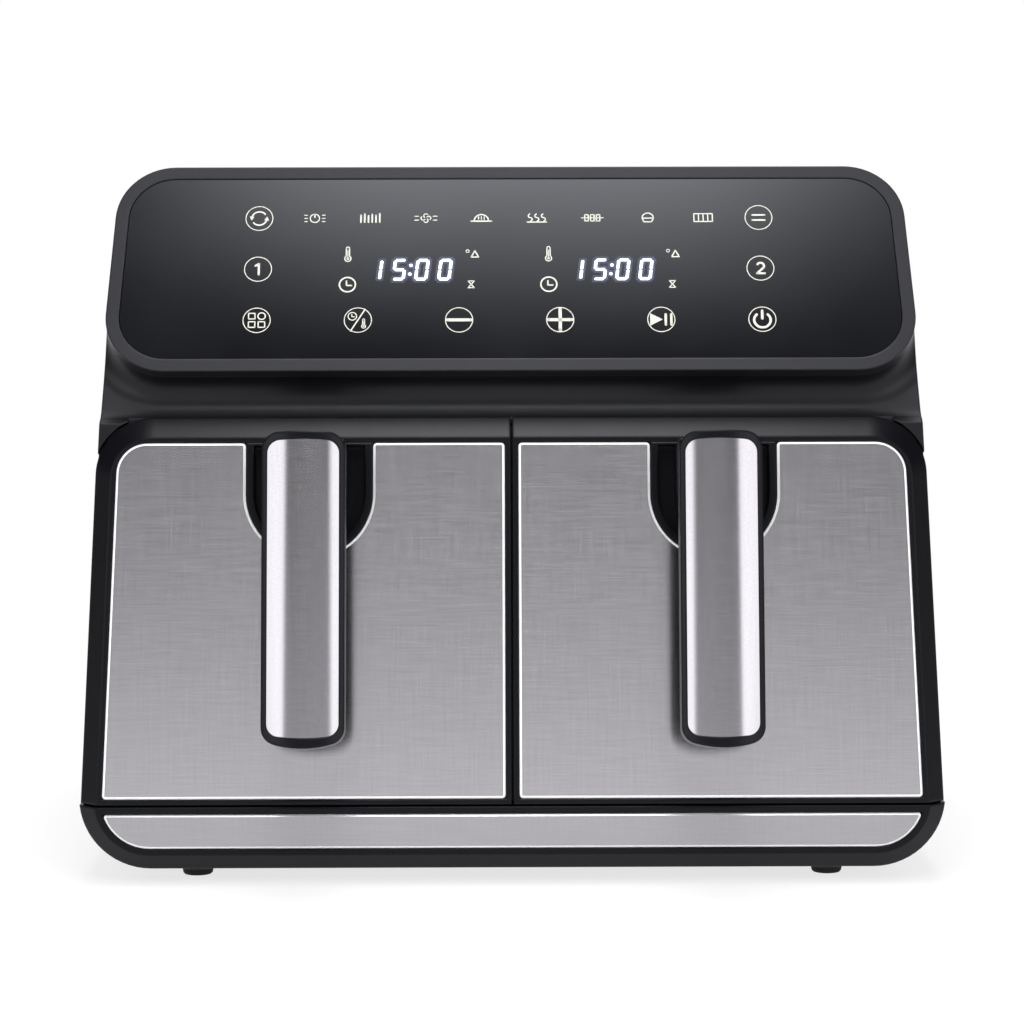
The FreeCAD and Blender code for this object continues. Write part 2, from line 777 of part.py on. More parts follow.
def make_rear_cover():
    inset = f"(dims.shell_wall + {FIT})"
    body = new_body("rear_cover")
    low = f"({BASE_TOP} + {FIT})"
    high = f"({TOP} - {inset})"
    outline = housing_outline(low, high, inset)
    prism(body, "XZ", [outline], f"{REAR_FACE} - dims.shell_wall", "dims.shell_wall")
    crest = number(high)
    round_edges(
        body, f"dims.panel_corner - {inset}",
        lambda e: runs_along(e, "y") and lies_at(e, "z", crest),
    )
    low = f"({BAY_CEILING} - {OUTLET_DROP})"
    slots = [
        box_outline(f"{x} - {OUTLET_HALF}", f"{x} + {OUTLET_HALF}", low, f"{low} + {VENT_HEIGHT}")
        for x in (LEFT_X, BAY_CENTRE)
    ]
    outlets = pocket(body, "XZ", slots, "0", "dims.body_depth")
    repeat_along(body, outlets, "Z", OUTLET_PITCH, OUTLET_ROWS)
    low = f"({TOP} - {INLET_DROP})"
    slot = box_outline(-INLET_HALF, INLET_HALF, low, f"{low} + {VENT_HEIGHT}")
    inlets = pocket(body, "XZ", [slot], "0", "dims.body_depth")
    repeat_along(body, inlets, "Z", INLET_PITCH, INLET_ROWS)
    pocket(body, "XZ", [{"x": GLAND_X, "y": GLAND_Z, "radius": GLAND_HOLE}], "0", "dims.body_depth")
    return body


def make_cord_gland():
    """A stem through the rear cover, a collar outside it and a bore for the cord."""
    reach = 6
    stem, collar, bore = GLAND_HOLE - 0.2, 10, 3.6
    body = new_body("cord_gland")
    centre = {"x": GLAND_X, "y": GLAND_Z}
    inside = f"{REAR_FACE} - dims.shell_wall - {reach}"
    prism(body, "XZ", [{**centre, "radius": stem}], inside, f"dims.shell_wall + {reach} + 1")
    prism(body, "XZ", [{**centre, "radius": collar}], REAR_FACE, "dims.back_recess")
    pocket(body, "XZ", [{**centre, "radius": bore}], "0", f"dims.body_depth + {OVERRUN}")
    return body


# Base

def base_outline(inset, high):
    """The base seen from the front, with its big round lower corners."""
    bend = f"(dims.base_corner - {inset})"
    level = "(dims.foot_height + dims.base_corner)"
    turn_x = f"({HALF} - sqrt(dims.base_corner^2 - (dims.base_corner - dims.base_height)^2))"
    high_x = f"({turn_x} + sqrt({bend}^2 - ({level} - ({high}))^2))"
    low = f"({level} - {bend})"
    return [
        (f"-{high_x}", high, bend),
        (f"-{turn_x}", low),
        (turn_x, low, bend),
        (high_x, high),
    ]


# The base tray's rear bevel, the posts that carry the bays and the vents in its floor
BASE_REAR_BEVEL = 2
POST_HALF = 5
POST_REACH = 55
POST_FRONT = 60
POST_REAR_GAP = 30
FLOOR_VENT_START = 40
FLOOR_VENT_HALF = 30
FLOOR_VENT_WIDTH = 5
FLOOR_VENT_PITCH = 14
FLOOR_VENT_ROWS = 6


def make_base_tray():
    body = new_body("base_tray")
    prism(body, "XZ", [base_outline("0", BASE_TOP)], "0", "dims.body_depth")
    crest = number(BASE_TOP)
    rear = number("dims.body_depth")
    bevel_edges(
        body, "dims.edge_bevel",
        lambda e: lies_at(e, "y", 0) and e.BoundBox.ZMin < crest - 1,
    )
    bevel_edges(
        body, BASE_REAR_BEVEL, lambda e: lies_at(e, "y", rear) and e.BoundBox.ZMin < crest - 1,
    )
    front_wall = "(dims.edge_bevel + dims.base_wall)"
    depth = f"dims.body_depth - {front_wall} - dims.base_wall"
    pocket(body, "XZ", [base_outline("dims.base_wall", BASE_TOP)], front_wall, depth)
    pocket(body, "XZ", [base_outline("dims.trim_inset", TRIM_TOP)], "0", "dims.trim_thick")
    floor = "(dims.foot_height + dims.base_wall)"
    posts = []
    for x in [f"{bay} {sign} {POST_REACH}" for bay in (LEFT_X, BAY_CENTRE) for sign in "-+"]:
        for y in (POST_FRONT, f"{BAY_BACK} - {POST_REAR_GAP}"):
            posts.append(box_outline(
                f"{x} - {POST_HALF}", f"{x} + {POST_HALF}", f"{y} - {POST_HALF}", f"{y} + {POST_HALF}",
            ))
    prism(body, "XY", posts, f"{floor} - 1", f"dims.bay_floor - dims.sheet - {floor} + 1")
    near = f"({FAN_Y} - {FLOOR_VENT_START})"
    slots = [
        box_outline(
            f"{x} - {FLOOR_VENT_HALF}", f"{x} + {FLOOR_VENT_HALF}", near, f"{near} + {FLOOR_VENT_WIDTH}",
        )
        for x in (LEFT_X, BAY_CENTRE)
    ]
    vents = pocket(body, "XY", slots, "0", f"{floor} + {OVERRUN}")
    repeat_along(body, vents, "Y", FLOOR_VENT_PITCH, FLOOR_VENT_ROWS)
    return body


def make_base_trim():
    body = new_body("base_trim")
    outline = base_outline("(dims.trim_inset + 0.1)", f"({TRIM_TOP} - 0.1)")
    prism(body, "XZ", [outline], f"-{FIT}", f"dims.trim_thick + {FIT}")
    ends = [corner[:2] for corner in (outline[0], outline[-1])]
    round_edges(body, "dims.trim_round", lambda e: stands_at(e, ends))
    bevel_edges(body, "dims.trim_bevel", lambda e: lies_at(e, "y", -FIT))
    return body


def make_rubber_feet():
    """Four turned feet: a narrow sole with a broken edge, and a flange under the base."""
    sole_inset, edge_width, edge_height, neck_inset = 4, 0.6, 0.6, 3
    flange_foot, flange_edge = 4, 2.5
    feet = []
    for name, x in (("left", f"dims.foot_inset - {HALF}"), ("right", f"{HALF} - dims.foot_inset")):
        for end, y in (("front", "dims.foot_setback"), ("rear", "dims.body_depth - dims.foot_setback")):
            body = new_body(f"foot_{end}_{name}", x=x, y=y)
            profile = [
                ("0", "0"),
                (f"dims.foot_radius - {sole_inset}", "0"),
                (f"dims.foot_radius - {sole_inset - edge_width}", edge_height),
                (f"dims.foot_radius - {neck_inset}", f"dims.foot_height - {flange_foot}"),
                ("dims.foot_radius", f"dims.foot_height - {flange_edge}"),
                ("dims.foot_radius", "dims.foot_height"),
                ("0", "dims.foot_height"),
            ]
            turned(body, profile)
            feet.append(body)
    return grouped("rubber_feet", feet)


# Drawer fronts

def front_outline(side_inset, top_inset, low, inner, corner, notch=()):
    """Left drawer front in its own leaning plane, set in from the outer edge."""
    high = f"(dims.front_height - {top_inset})"
    high_x, low_x = front_edge(high, side_inset), front_edge(low, side_inset)
    run = f"({corner}) / tan(45 + dims.side_lean / 2)"
    return [
        (f"-({inner})", low),
        (f"-({inner})", high),
        *notch,
        (f"{high_x} + {run}", high, corner),
        (f"{high_x} - {run} * sin(dims.side_lean)", f"{high} - {run} * cos(dims.side_lean)"),
        (low_x, low),
    ]


def u_shape(half, high):
    """Right, round lower end and left of a U that hangs from a height, open at the top."""
    return [
        (f"{LEFT_X} + {half}", high),
        (f"{LEFT_X} + {half}", SOCKET_TURN, f"-({half})"),
        (LEFT_X, f"{SOCKET_TURN} - {half}", f"-({half})"),
        (f"{LEFT_X} - {half}", SOCKET_TURN),
        (f"{LEFT_X} - {half}", high),
    ]


def level_line(depth):
    """Where the level line one seam above the base is on the slope, at a depth behind the face."""
    return f"((dims.seam + {depth} * sin(dims.front_lean)) / cos(dims.front_lean))"


FACING_SIDE = "(dims.edge_bevel + dims.facing_border)"
FACING_DROP = "(dims.top_bevel + dims.facing_border)"
FACING_LOW = "(dims.seam + dims.facing_border)"
FACING_INNER = "(dims.seam / 2 + dims.facing_border)"


def make_drawer_front():
    body = front_body("drawer_front_left")
    outer = front_outline("0", "0", "0", "dims.seam / 2", "dims.front_corner")
    face = front_outline(
        "dims.edge_bevel", "dims.top_bevel", "0", "dims.seam / 2",
        "(dims.front_corner - dims.edge_bevel)",
    )
    prism(body, "XZ", [outer], "dims.bevel_depth", "dims.front_thick - dims.bevel_depth")
    bevel = body.newObject("PartDesign::AdditiveLoft", "drawer_front_bevel")
    bevel.Profile = sketch_on(body, "XZ", [outer], "dims.bevel_depth")
    bevel.Sections = [sketch_on(body, "XZ", [face], "0")]
    bevel.Ruled = True
    recess = front_outline(
        FACING_SIDE, FACING_DROP, FACING_LOW, FACING_INNER, "dims.facing_corner",
    )
    pocket(body, "XZ", [recess], "-1", "dims.facing_thick - dims.facing_proud + 1")
    pocket(body, "XZ", [u_shape("dims.socket_half", FACING_TOP)], "-1", "dims.front_thick + 2")
    ahead, behind = f"(-{2 * OVERRUN})", f"(dims.front_thick + {2 * OVERRUN})"
    below = f"-{4 * OVERRUN}"
    under_seam = [
        (ahead, below),
        (behind, below),
        (behind, level_line(behind)),
        (ahead, level_line(ahead)),
    ]
    pocket(body, "YZ", [under_seam], f"-{HALF} - {2 * OVERRUN}", f"{HALF} + {2 * OVERRUN}")
    return body


def make_drawer_facing():
    body = front_body("drawer_facing_left")
    gap = PRESS_FIT
    notch = u_shape(f"(dims.socket_half + {gap})", f"(dims.front_height - ({FACING_DROP} + {gap}))")
    outline = front_outline(
        f"({FACING_SIDE} + {gap})", f"({FACING_DROP} + {gap})", f"({FACING_LOW} + {gap})",
        f"{FACING_INNER} + {gap}", f"dims.facing_corner - {gap}", notch,
    )
    prism(body, "XZ", [outline], "-dims.facing_proud", "dims.facing_thick")
    sharp = (outline[0], outline[1], notch[0], notch[-1], outline[-1])
    round_edges(body, "dims.facing_round", lambda e: stands_at(e, sharp))
    front = -number("dims.facing_proud")
    bevel_edges(body, "dims.facing_bevel", lambda e: lies_at(e, "y", front))
    return body


# The two screws that hold a handle: places on the slope, bores, and the screws themselves
SCREW_HEIGHTS = (f"{SOCKET_TURN} + 4", f"{SOCKET_TURN} - 14")
SCREW_REACH = 2
SCREW_BITE = 13
SCREW_HEAD = 4
SCREW_HEAD_THICK = 2.6
SCREW_BORE = 2.1
SCREW_HOLE = 2.2


def make_handle_socket():
    body = front_body("handle_socket_left")
    gap = PRESS_FIT
    half = f"(dims.socket_half - {gap})"
    prism(body, "XZ", [u_shape(half, f"{FACING_TOP} - {gap}")], "0", "dims.front_thick")
    hollow = u_shape("(dims.socket_half - dims.socket_lip)", f"{FACING_TOP} - 1.2")
    pocket(body, "XZ", [hollow], "-1", "dims.front_thick - dims.socket_floor + 1")
    holes = [{"x": LEFT_X, "y": height, "radius": SCREW_HOLE} for height in SCREW_HEIGHTS]
    pocket(body, "XZ", holes, "-1", "dims.front_thick + 2")
    return body


def make_drawer_box():
    """The hollow box behind a drawer front that carries the basket."""
    low = f"({BASKET_FLOOR} + 1)"
    high = f"({MOUTH_TOP} - 4)"
    wall = BOX_WALL

    def wedge(label, inset, half):
        body = new_body(label)
        bottom, top = f"({low} + {inset})", f"({high} - {inset})"
        back = f"dims.basket_front - {inset}"
        ahead = f"(dims.front_thick - {inset})"
        outline = [
            (front_y(bottom, ahead), bottom), (back, bottom), (back, top), (front_y(top, ahead), top),
        ]
        prism(body, "YZ", [outline], f"{LEFT_X} - ({half})", f"2 * ({half})")
        return body

    outer = wedge("drawer_box_outside", "0", BOX_HALF)
    inner = wedge("drawer_box_inside", wall, f"{BOX_HALF} - {wall}")
    return cut_from("drawer_box_left", outer, [inner])


# Handles

def grip_outline(side, top, foot, top_bow, foot_bow):
    """Front view of a handle with bowed ends, set in from its sides, top and foot."""
    half = f"(dims.handle_width / 2 - {side})"
    low = f"({HANDLE_FOOT} + {foot} + {foot_bow})"
    high = f"({HANDLE_FOOT} + dims.handle_length - {top} - {top_bow})"
    left, right = f"{LEFT_X} - {half}", f"{LEFT_X} + {half}"

    def bend(bow):
        return f"(({half}^2 + {bow}^2) / (2 * {bow}))"

    return [(left, low, bend(foot_bow)), (right, low), (right, high, bend(top_bow)), (left, high)]


def grip_slab(label, outline, corner):
    """The front view of a handle as a deep slab with round corners."""
    body = front_body(label)
    prism(
        body, "XZ", [outline], f"-(dims.handle_gap + dims.handle_depth + {OVERRUN})",
        f"dims.handle_depth + {OVERRUN}",
    )
    round_edges(body, corner, lambda e: runs_along(e, "y"))
    return body


def crowned_bar(label, skin):
    """A bar with a crowned front as wide as a handle, or the skin of its front only."""
    body = front_body(label)
    half = "(dims.handle_width / 2)"
    crown = f"(({half}^2 + dims.handle_crown^2) / (2 * dims.handle_crown))"
    shoulder = "-(dims.handle_gap + dims.handle_depth - dims.handle_crown)"
    right, left = f"{LEFT_X} + {half}", f"{LEFT_X} - {half}"
    front = [(right, shoulder, f"-{crown}"), (left, shoulder)]
    if skin:
        outline = front + [
            (left, f"{shoulder} + {skin}", crown),
            (right, f"{shoulder} + {skin}"),
        ]
    else:
        outline = front + [(left, "-dims.handle_gap"), (right, "-dims.handle_gap")]
    prism(body, "XY", [outline], "0", f"dims.front_height + {4 * OVERRUN}")
    return body


def make_handle():
    """Handle body with its neck, and the steel cover let into its front."""
    cover_outline = grip_outline(
        "dims.cover_border", "dims.cover_top", "dims.cover_foot",
        "dims.handle_top_bow", "dims.cover_foot_bow",
    )
    cover_slab = grip_slab("cover_slab", cover_outline, "dims.handle_corner - 2")
    cover = shared("handle_cover_left", cover_slab, crowned_bar("cover_skin", "dims.cover_thick"))
    outline = grip_outline("0", "0", "0", "dims.handle_top_bow", "dims.handle_foot_bow")
    slab = grip_slab("grip_slab", outline, "dims.handle_corner")
    grip = shared("grip", slab, crowned_bar("grip_bar", ""))

    neck = front_body("handle_neck")
    half = "(dims.handle_width / 2 - 0.6)"
    high = f"({HANDLE_FOOT} + dims.handle_length - dims.handle_top_bow - 1)"
    turn = f"({high} - dims.neck_length + {half})"
    outline = [
        (f"{LEFT_X} + {half}", high),
        (f"{LEFT_X} + {half}", turn, f"-{half}"),
        (LEFT_X, f"{turn} - {half}", f"-{half}"),
        (f"{LEFT_X} - {half}", turn),
        (f"{LEFT_X} - {half}", high),
    ]
    seat = "(dims.front_thick - dims.socket_floor)"
    prism(neck, "XZ", [outline], "-dims.handle_gap - 3", f"dims.handle_gap + 3 + {seat}")

    bores = front_body("neck_bores")
    holes = [{"x": LEFT_X, "y": height, "radius": SCREW_BORE} for height in SCREW_HEIGHTS]
    prism(bores, "XZ", holes, f"{seat} - {SCREW_BITE + 1}", 4 * OVERRUN)
    handle = cut_from("handle_body_left", joined("handle_solid", [grip, neck]), [cover, bores])

    screws = front_body("handle_screws_left")
    screws.AllowCompound = True
    shanks = [six_sides(LEFT_X, height, SCREW_REACH) for height in SCREW_HEIGHTS]
    heads = [six_sides(LEFT_X, height, SCREW_HEAD) for height in SCREW_HEIGHTS]
    prism(screws, "XZ", shanks, f"{seat} - {SCREW_BITE}", f"{SCREW_BITE} + dims.socket_floor + 1")
    prism(screws, "XZ", heads, "dims.front_thick", SCREW_HEAD_THICK)
    return handle, cover, screws


# The magnet in a drawer and the reed sensors that feel it, placed up the front's slope
MAGNET_LOW = 40
MAGNET_HIGH = 60
MAGNET_WIDTH = 8
MAGNET_THICK = 5
REED_PLACES = (-3, 3)
REED_HALF = 2
REED_MARGIN = 2
REED_DEPTH = 12


def make_drawer_magnet():
    body = front_body("drawer_magnet_left")
    inner = f"({BAY_CENTRE} - {BOX_HALF} + {BOX_WALL} + 1)"
    loop = box_outline(f"-{inner} - {MAGNET_WIDTH}", f"-{inner}", MAGNET_LOW, MAGNET_HIGH)
    prism(body, "XZ", [loop], "dims.front_thick", MAGNET_THICK)
    return body


def make_reed_sensors():
    body = front_body("reed_sensors")
    body.AllowCompound = True
    low, high = MAGNET_LOW - REED_MARGIN, MAGNET_HIGH + REED_MARGIN
    loops = [box_outline(x - REED_HALF, x + REED_HALF, low, high) for x in REED_PLACES]
    prism(body, "XZ", loops, FRAME_BACK, REED_DEPTH)
    return body


# Cooking bays

def bay_profile(label, inset, half, mouth):
    """A bay seen from the side, as a solid: a drawer space and a taller fan space behind it."""
    body = new_body(label)
    low, lip = f"(dims.bay_floor - {inset})", f"({MOUTH_TOP} + {inset})"
    high = f"({BAY_CEILING} + {inset})"
    outline = [
        (front_y(low, mouth), low),
        (f"{BAY_BACK} + {inset}", low),
        (f"{BAY_BACK} + {inset}", high),
        (f"dims.chamber_front - {inset}", high),
        (f"dims.chamber_front - {inset}", lip),
        (front_y(lip, mouth), lip),
    ]
    prism(body, "YZ", [outline], f"{LEFT_X} - {half}", f"2 * {half}")
    return body


# The heating tube round the fan, the probe beside it and the duct behind the bay
HEATER_FAN_GAP = 1.25
HEATER_DROP = 31
HEATER_STUB = 12
HEATER_RADIUS = f"(dims.hot_fan_radius + dims.heater_tube + {HEATER_FAN_GAP})"
HEATER_STEP = 6
HEATER_BEND = 8
HEATER_TURNS = 4
HEATER_SIDES = 8
HEATER_LEGS = (
    (f"{HEATER_BEND}", f"{FAN_Y} + {HEATER_RADIUS}"),
    (f"-{HEATER_BEND}", f"{FAN_Y} + {HEATER_RADIUS} + {HEATER_TURNS * HEATER_STEP}"),
)
PROBE = ("48", f"{FAN_Y} - 66")
PROBE_RADIUS = 2
DUCT_HALF = 40
DUCT_HEIGHT = 34
DUCT_DROP = 38
DUCT_WALL = 1.5
DUCT_LIP = 2
DUCT_LOW = f"({BAY_CEILING} - {DUCT_DROP})"
SHAFT_CLEARANCE = 4


def square_hole(name, x, y, low, half, height):
    """A tool for a square hole in the roof of the left bay, placed from the fan's axis across."""
    across = f"2 * ({half})"
    return block(name, f"{LEFT_X} + {x} - ({half})", f"{y} - ({half})", low, across, across, height)


def roof_holes(name, low, height):
    """Tools for the holes in the roof of the left bay: shaft, heater legs and probe."""
    shaft_hole = f"dims.shaft_radius + {SHAFT_CLEARANCE}"
    holes = [post(f"{name}_shaft_hole", LEFT_X, FAN_Y, low, shaft_hole, height)]
    leg_hole = f"dims.heater_tube + {FIT}"
    for index, (x, y) in enumerate(HEATER_LEGS):
        holes.append(square_hole(f"{name}_leg_hole_{index}", x, y, low, leg_hole, height))
    holes.append(square_hole(f"{name}_probe_hole", *PROBE, low, f"{PROBE_RADIUS} + {FIT}", height))
    return holes


def make_cavity():
    outer = bay_profile("cavity_outside", "dims.sheet", f"({BAY_HALF} + dims.sheet)", FRAME_BACK)
    inner = bay_profile("cavity_inside", "0", BAY_HALF, f"({FRAME_BACK} - {2 * OVERRUN})")
    window = block(
        "cavity_window", f"{LEFT_X} - {DUCT_HALF - DUCT_LIP}", f"{BAY_BACK} - {OVERRUN}",
        f"{DUCT_LOW} + {DUCT_LIP}", 2 * (DUCT_HALF - DUCT_LIP), 2 * OVERRUN, DUCT_HEIGHT - 2 * DUCT_LIP,
    )
    holes = roof_holes("cavity", f"{BAY_CEILING} - {OVERRUN}", 2 * OVERRUN)
    return cut_from("cavity_left", outer, [inner, window, *holes])


def make_exhaust_duct():
    back = f"({BAY_BACK} + dims.sheet)"
    length = f"{REAR_FACE} - dims.shell_wall - {back}"
    outer = block(
        "duct_outside", f"{LEFT_X} - {DUCT_HALF}", back, DUCT_LOW, 2 * DUCT_HALF, length, DUCT_HEIGHT,
    )
    inner = block(
        "duct_inside", f"{LEFT_X} - {DUCT_HALF - DUCT_WALL}", f"{back} - {OVERRUN}",
        f"{DUCT_LOW} + {DUCT_WALL}", 2 * (DUCT_HALF - DUCT_WALL), f"{length} + {2 * OVERRUN}",
        DUCT_HEIGHT - 2 * DUCT_WALL,
    )
    return cut_from("exhaust_duct_left", outer, [inner])


def make_runner_rails():
    reach, half, end_gap = 45, 4, 4
    rails = []
    start = f"({front_y('dims.bay_floor', FRAME_BACK)} + {end_gap})"
    for name, x in (("inner", f"{LEFT_X} + {reach}"), ("outer", f"{LEFT_X} - {reach}")):
        rails.append(block(
            f"rail_{name}", f"{x} - {half}", start, "dims.bay_floor", 2 * half,
            f"{BAY_BACK} - {end_gap} - {start}", "dims.rail_height",
        ))
    return grouped("runner_rails_left", rails)


def make_heat_shield():
    plate = block(
        "heat_shield_plate", f"-({BAY_CENTRE} + {BAY_HALF})", "dims.chamber_front", DECK_Z,
        f"2 * ({BAY_CENTRE} + {BAY_HALF})", f"{BAY_BACK} - dims.chamber_front", SHIELD_THICK,
    )
    holes = joined("shield_holes_left", roof_holes("shield", f"{DECK_Z} - {OVERRUN}", 3 * OVERRUN))
    return cut_from("heat_shield", plate, [holes, mirrored("shield_holes_right", holes)])


# A fan guard's two rings of slots, by their inner and outer radius, and the share that is open
GUARD_RINGS = ((16, 40), (45, 72))
GUARD_SPOKES = 20
GUARD_OPEN = 0.72


def make_fan_guard():
    body = fan_body("fan_guard_left")
    level = f"({MOUTH_TOP} + dims.sheet)"
    gap = 0.2
    wide = f"({BAY_HALF} - {gap})"
    outline = box_outline(
        f"-{wide}", wide, f"dims.chamber_front + {gap} - {FAN_Y}", f"{BAY_BACK} - {gap} - {FAN_Y}",
    )
    prism(body, "XY", [outline], level, "dims.sheet")
    spread = GUARD_OPEN / 2 * 360 / GUARD_SPOKES
    slots = []
    for inside, outside in GUARD_RINGS:
        corners = ((inside, -spread), (outside, -spread), (outside, spread), (inside, spread))
        slots.append([(f"{reach} * cos({turn})", f"{reach} * sin({turn})") for reach, turn in corners])
    slot = pocket(body, "XY", slots, f"{level} - 1", "4")
    repeat_round(body, slot, GUARD_SPOKES)
    return body


# Baskets

RIM_THICK = 1.5


def tub(label, inset, low, high):
    """A round-cornered tub as a solid, its front against the drawer box."""
    body = new_body(label)
    half = f"({BASKET_HALF} - {inset})"
    front = f"dims.basket_front + {inset}"
    back = f"{BASKET_END} - dims.basket_rim - {inset}"
    loop = box_outline(f"{LEFT_X} - {half}", f"{LEFT_X} + {half}", front, back)
    prism(body, "XY", [loop], low, f"{high} - {low}")
    floor = number(low)
    round_edges(body, f"dims.basket_corner - {inset}", lambda e: runs_along(e, "z"))
    bevel_edges(body, "dims.basket_bend", lambda e: lies_at(e, "z", floor))
    return body


def make_basket():
    outer = tub("basket_outside", "0", BASKET_FLOOR, RIM_Z)
    rim = new_body("basket_rim")
    half = f"({BASKET_HALF} + dims.basket_rim)"
    back = BASKET_END
    loop = box_outline(f"{LEFT_X} - {half}", f"{LEFT_X} + {half}", "dims.basket_front", back)
    prism(rim, "XY", [loop], f"{RIM_Z} - {RIM_THICK}", RIM_THICK)
    middle = number(FAN_Y)
    round_edges(
        rim, "dims.basket_corner + dims.basket_rim",
        lambda e: runs_along(e, "z") and e.CenterOfMass.y > middle,
    )
    inner = tub(
        "basket_inside", "dims.basket_wall",
        f"({BASKET_FLOOR} + dims.basket_wall)", f"({RIM_Z} + {OVERRUN})",
    )
    return cut_from("basket_left", joined("basket_solid", [outer, rim]), [inner])


# A crisper plate with its slots, its legs and the bumpers that fill its gap to the basket
PLATE_GAP = 2.5
PLATE_HALF = f"({BASKET_HALF} - dims.basket_wall - {PLATE_GAP})"
PLATE_FRONT = f"(dims.basket_front + dims.basket_wall + {PLATE_GAP})"
PLATE_BACK = f"({BASKET_END} - dims.basket_rim - dims.basket_wall - {PLATE_GAP})"
PLATE_ROWS = 9
PLATE_COLUMNS = 4
PLATE_PITCH = 21
PLATE_STEP = 31
SLOT_REACH = 11
SLOT_HALF = 3
LEG_REACH = 46.5
LEG_INSET = 26
LEG_HALF_WIDTH = 3
LEG_HALF_DEPTH = 2
BUMPER_PLACES = (("front", -60), ("rear", 48))
BUMPER_LENGTH = 12
BUMPER_HEIGHT = 7
BUMPER_DROP = 2.5


def make_crisper_plate():
    body = new_body("crisper_plate_left")
    outline = box_outline(
        f"{LEFT_X} - {PLATE_HALF}", f"{LEFT_X} + {PLATE_HALF}", PLATE_FRONT, PLATE_BACK,
    )
    prism(body, "XY", [outline], PLATE_Z, "dims.plate_thick")
    round_edges(body, "dims.basket_corner - 2", lambda e: runs_along(e, "z"))
    first_row = f"(({PLATE_FRONT} + {PLATE_BACK}) / 2 - {(PLATE_ROWS - 1) / 2} * {PLATE_PITCH})"
    slots = []
    for column in range(PLATE_COLUMNS):
        x = f"({LEFT_X} + {column - (PLATE_COLUMNS - 1) / 2} * {PLATE_STEP})"
        slots.append([
            (f"{x} - {SLOT_REACH}", first_row),
            (f"{x} - {SLOT_REACH - SLOT_HALF}", f"{first_row} - {SLOT_HALF}"),
            (f"{x} + {SLOT_REACH - SLOT_HALF}", f"{first_row} - {SLOT_HALF}"),
            (f"{x} + {SLOT_REACH}", first_row),
            (f"{x} + {SLOT_REACH - SLOT_HALF}", f"{first_row} + {SLOT_HALF}"),
            (f"{x} - {SLOT_REACH - SLOT_HALF}", f"{first_row} + {SLOT_HALF}"),
        ])
    slot_row = pocket(body, "XY", slots, f"{PLATE_Z} - 2", "dims.plate_thick + 4")
    repeat_along(body, slot_row, "Y", PLATE_PITCH, PLATE_ROWS)
    legs = []
    for x in (f"{LEFT_X} - {LEG_REACH}", f"{LEFT_X} + {LEG_REACH}"):
        for y in (f"{PLATE_FRONT} + {LEG_INSET}", f"{PLATE_BACK} - {LEG_INSET}"):
            legs.append(box_outline(
                f"{x} - {LEG_HALF_WIDTH}", f"{x} + {LEG_HALF_WIDTH}",
                f"{y} - {LEG_HALF_DEPTH}", f"{y} + {LEG_HALF_DEPTH}",
            ))
    prism(body, "XY", legs, f"{PLATE_Z} - dims.plate_rise + {FIT}", f"dims.plate_rise - {FIT}")
    return body


def make_plate_bumpers():
    thick = f"({PLATE_GAP} - {FIT})"
    middle = f"({PLATE_FRONT} + {PLATE_BACK}) / 2"
    low = f"{PLATE_Z} - {BUMPER_DROP}"
    edges = (("outer", f"{LEFT_X} - {PLATE_HALF} - {thick}"), ("inner", f"{LEFT_X} + {PLATE_HALF}"))
    bumpers = []
    for side, x in edges:
        for end, place in BUMPER_PLACES:
            bumpers.append(block(
                f"bumper_{side}_{end}", x, f"{middle} + ({place})", low,
                thick, BUMPER_LENGTH, BUMPER_HEIGHT,
            ))
    return grouped("plate_bumpers_left", bumpers)


# Heat and air

def make_heater():
    """One tube: a leg down from the roof, four half turns that grow outwards, a leg up."""
    tube = number("dims.heater_tube")
    first = number(HEATER_RADIUS)
    level = number(BAY_CEILING) - HEATER_DROP
    leg_top = number(DECK_TOP) + HEATER_STUB
    bend = HEATER_BEND

    def corner(x, y, turn_x):
        """The quarter bend between an upright leg and the flat winding."""
        lean = bend * math.sqrt(0.5)
        middle = FreeCAD.Vector(x + turn_x * lean, y, level + bend - lean)
        return Part.Arc(
            FreeCAD.Vector(x, y, level), middle, FreeCAD.Vector(x + turn_x * bend, y, level + bend)
        ).toShape()

    def leg(x, y):
        """A straight leg, from the end of its bend up through the roof."""
        return FreeCAD.Vector(x, y, level + bend), FreeCAD.Vector(x, y, leg_top)

    foot, top = leg(bend, first)
    path = [Part.LineSegment(top, foot).toShape(), corner(0, first, 1)]
    y = first
    for turn in range(HEATER_TURNS):
        radius = first + turn * HEATER_STEP
        heading = 1 if turn % 2 == 0 else -1
        centre = y - heading * radius
        end = centre - heading * radius
        path.append(Part.Arc(
            FreeCAD.Vector(0, y, level),
            FreeCAD.Vector(-heading * radius, centre, level),
            FreeCAD.Vector(0, end, level),
        ).toShape())
        y = end
    path.append(corner(0, y, -1))
    path.append(Part.LineSegment(*leg(-bend, y)).toShape())
    wire = Part.Wire(Part.sortEdges(path)[0])
    start = wire.OrderedVertexes[0].Point
    corners = []
    for side in range(HEATER_SIDES + 1):
        turn = 2 * math.pi * side / HEATER_SIDES
        corners.append(start + FreeCAD.Vector(tube * math.cos(turn), tube * math.sin(turn), 0))
    ring = Part.makePolygon(corners)
    heater = doc.addObject("Part::Feature", "heater_left")
    heater.Shape = wire.makePipeShell([ring], True, False)
    heater.setExpression("Placement.Base.x", LEFT_X)
    heater.setExpression("Placement.Base.y", f"{FRONT} + {FAN_Y}")
    print(f"heater gap to itself {2 * HEATER_STEP - 2 * tube:.2f} mm")
    return heater


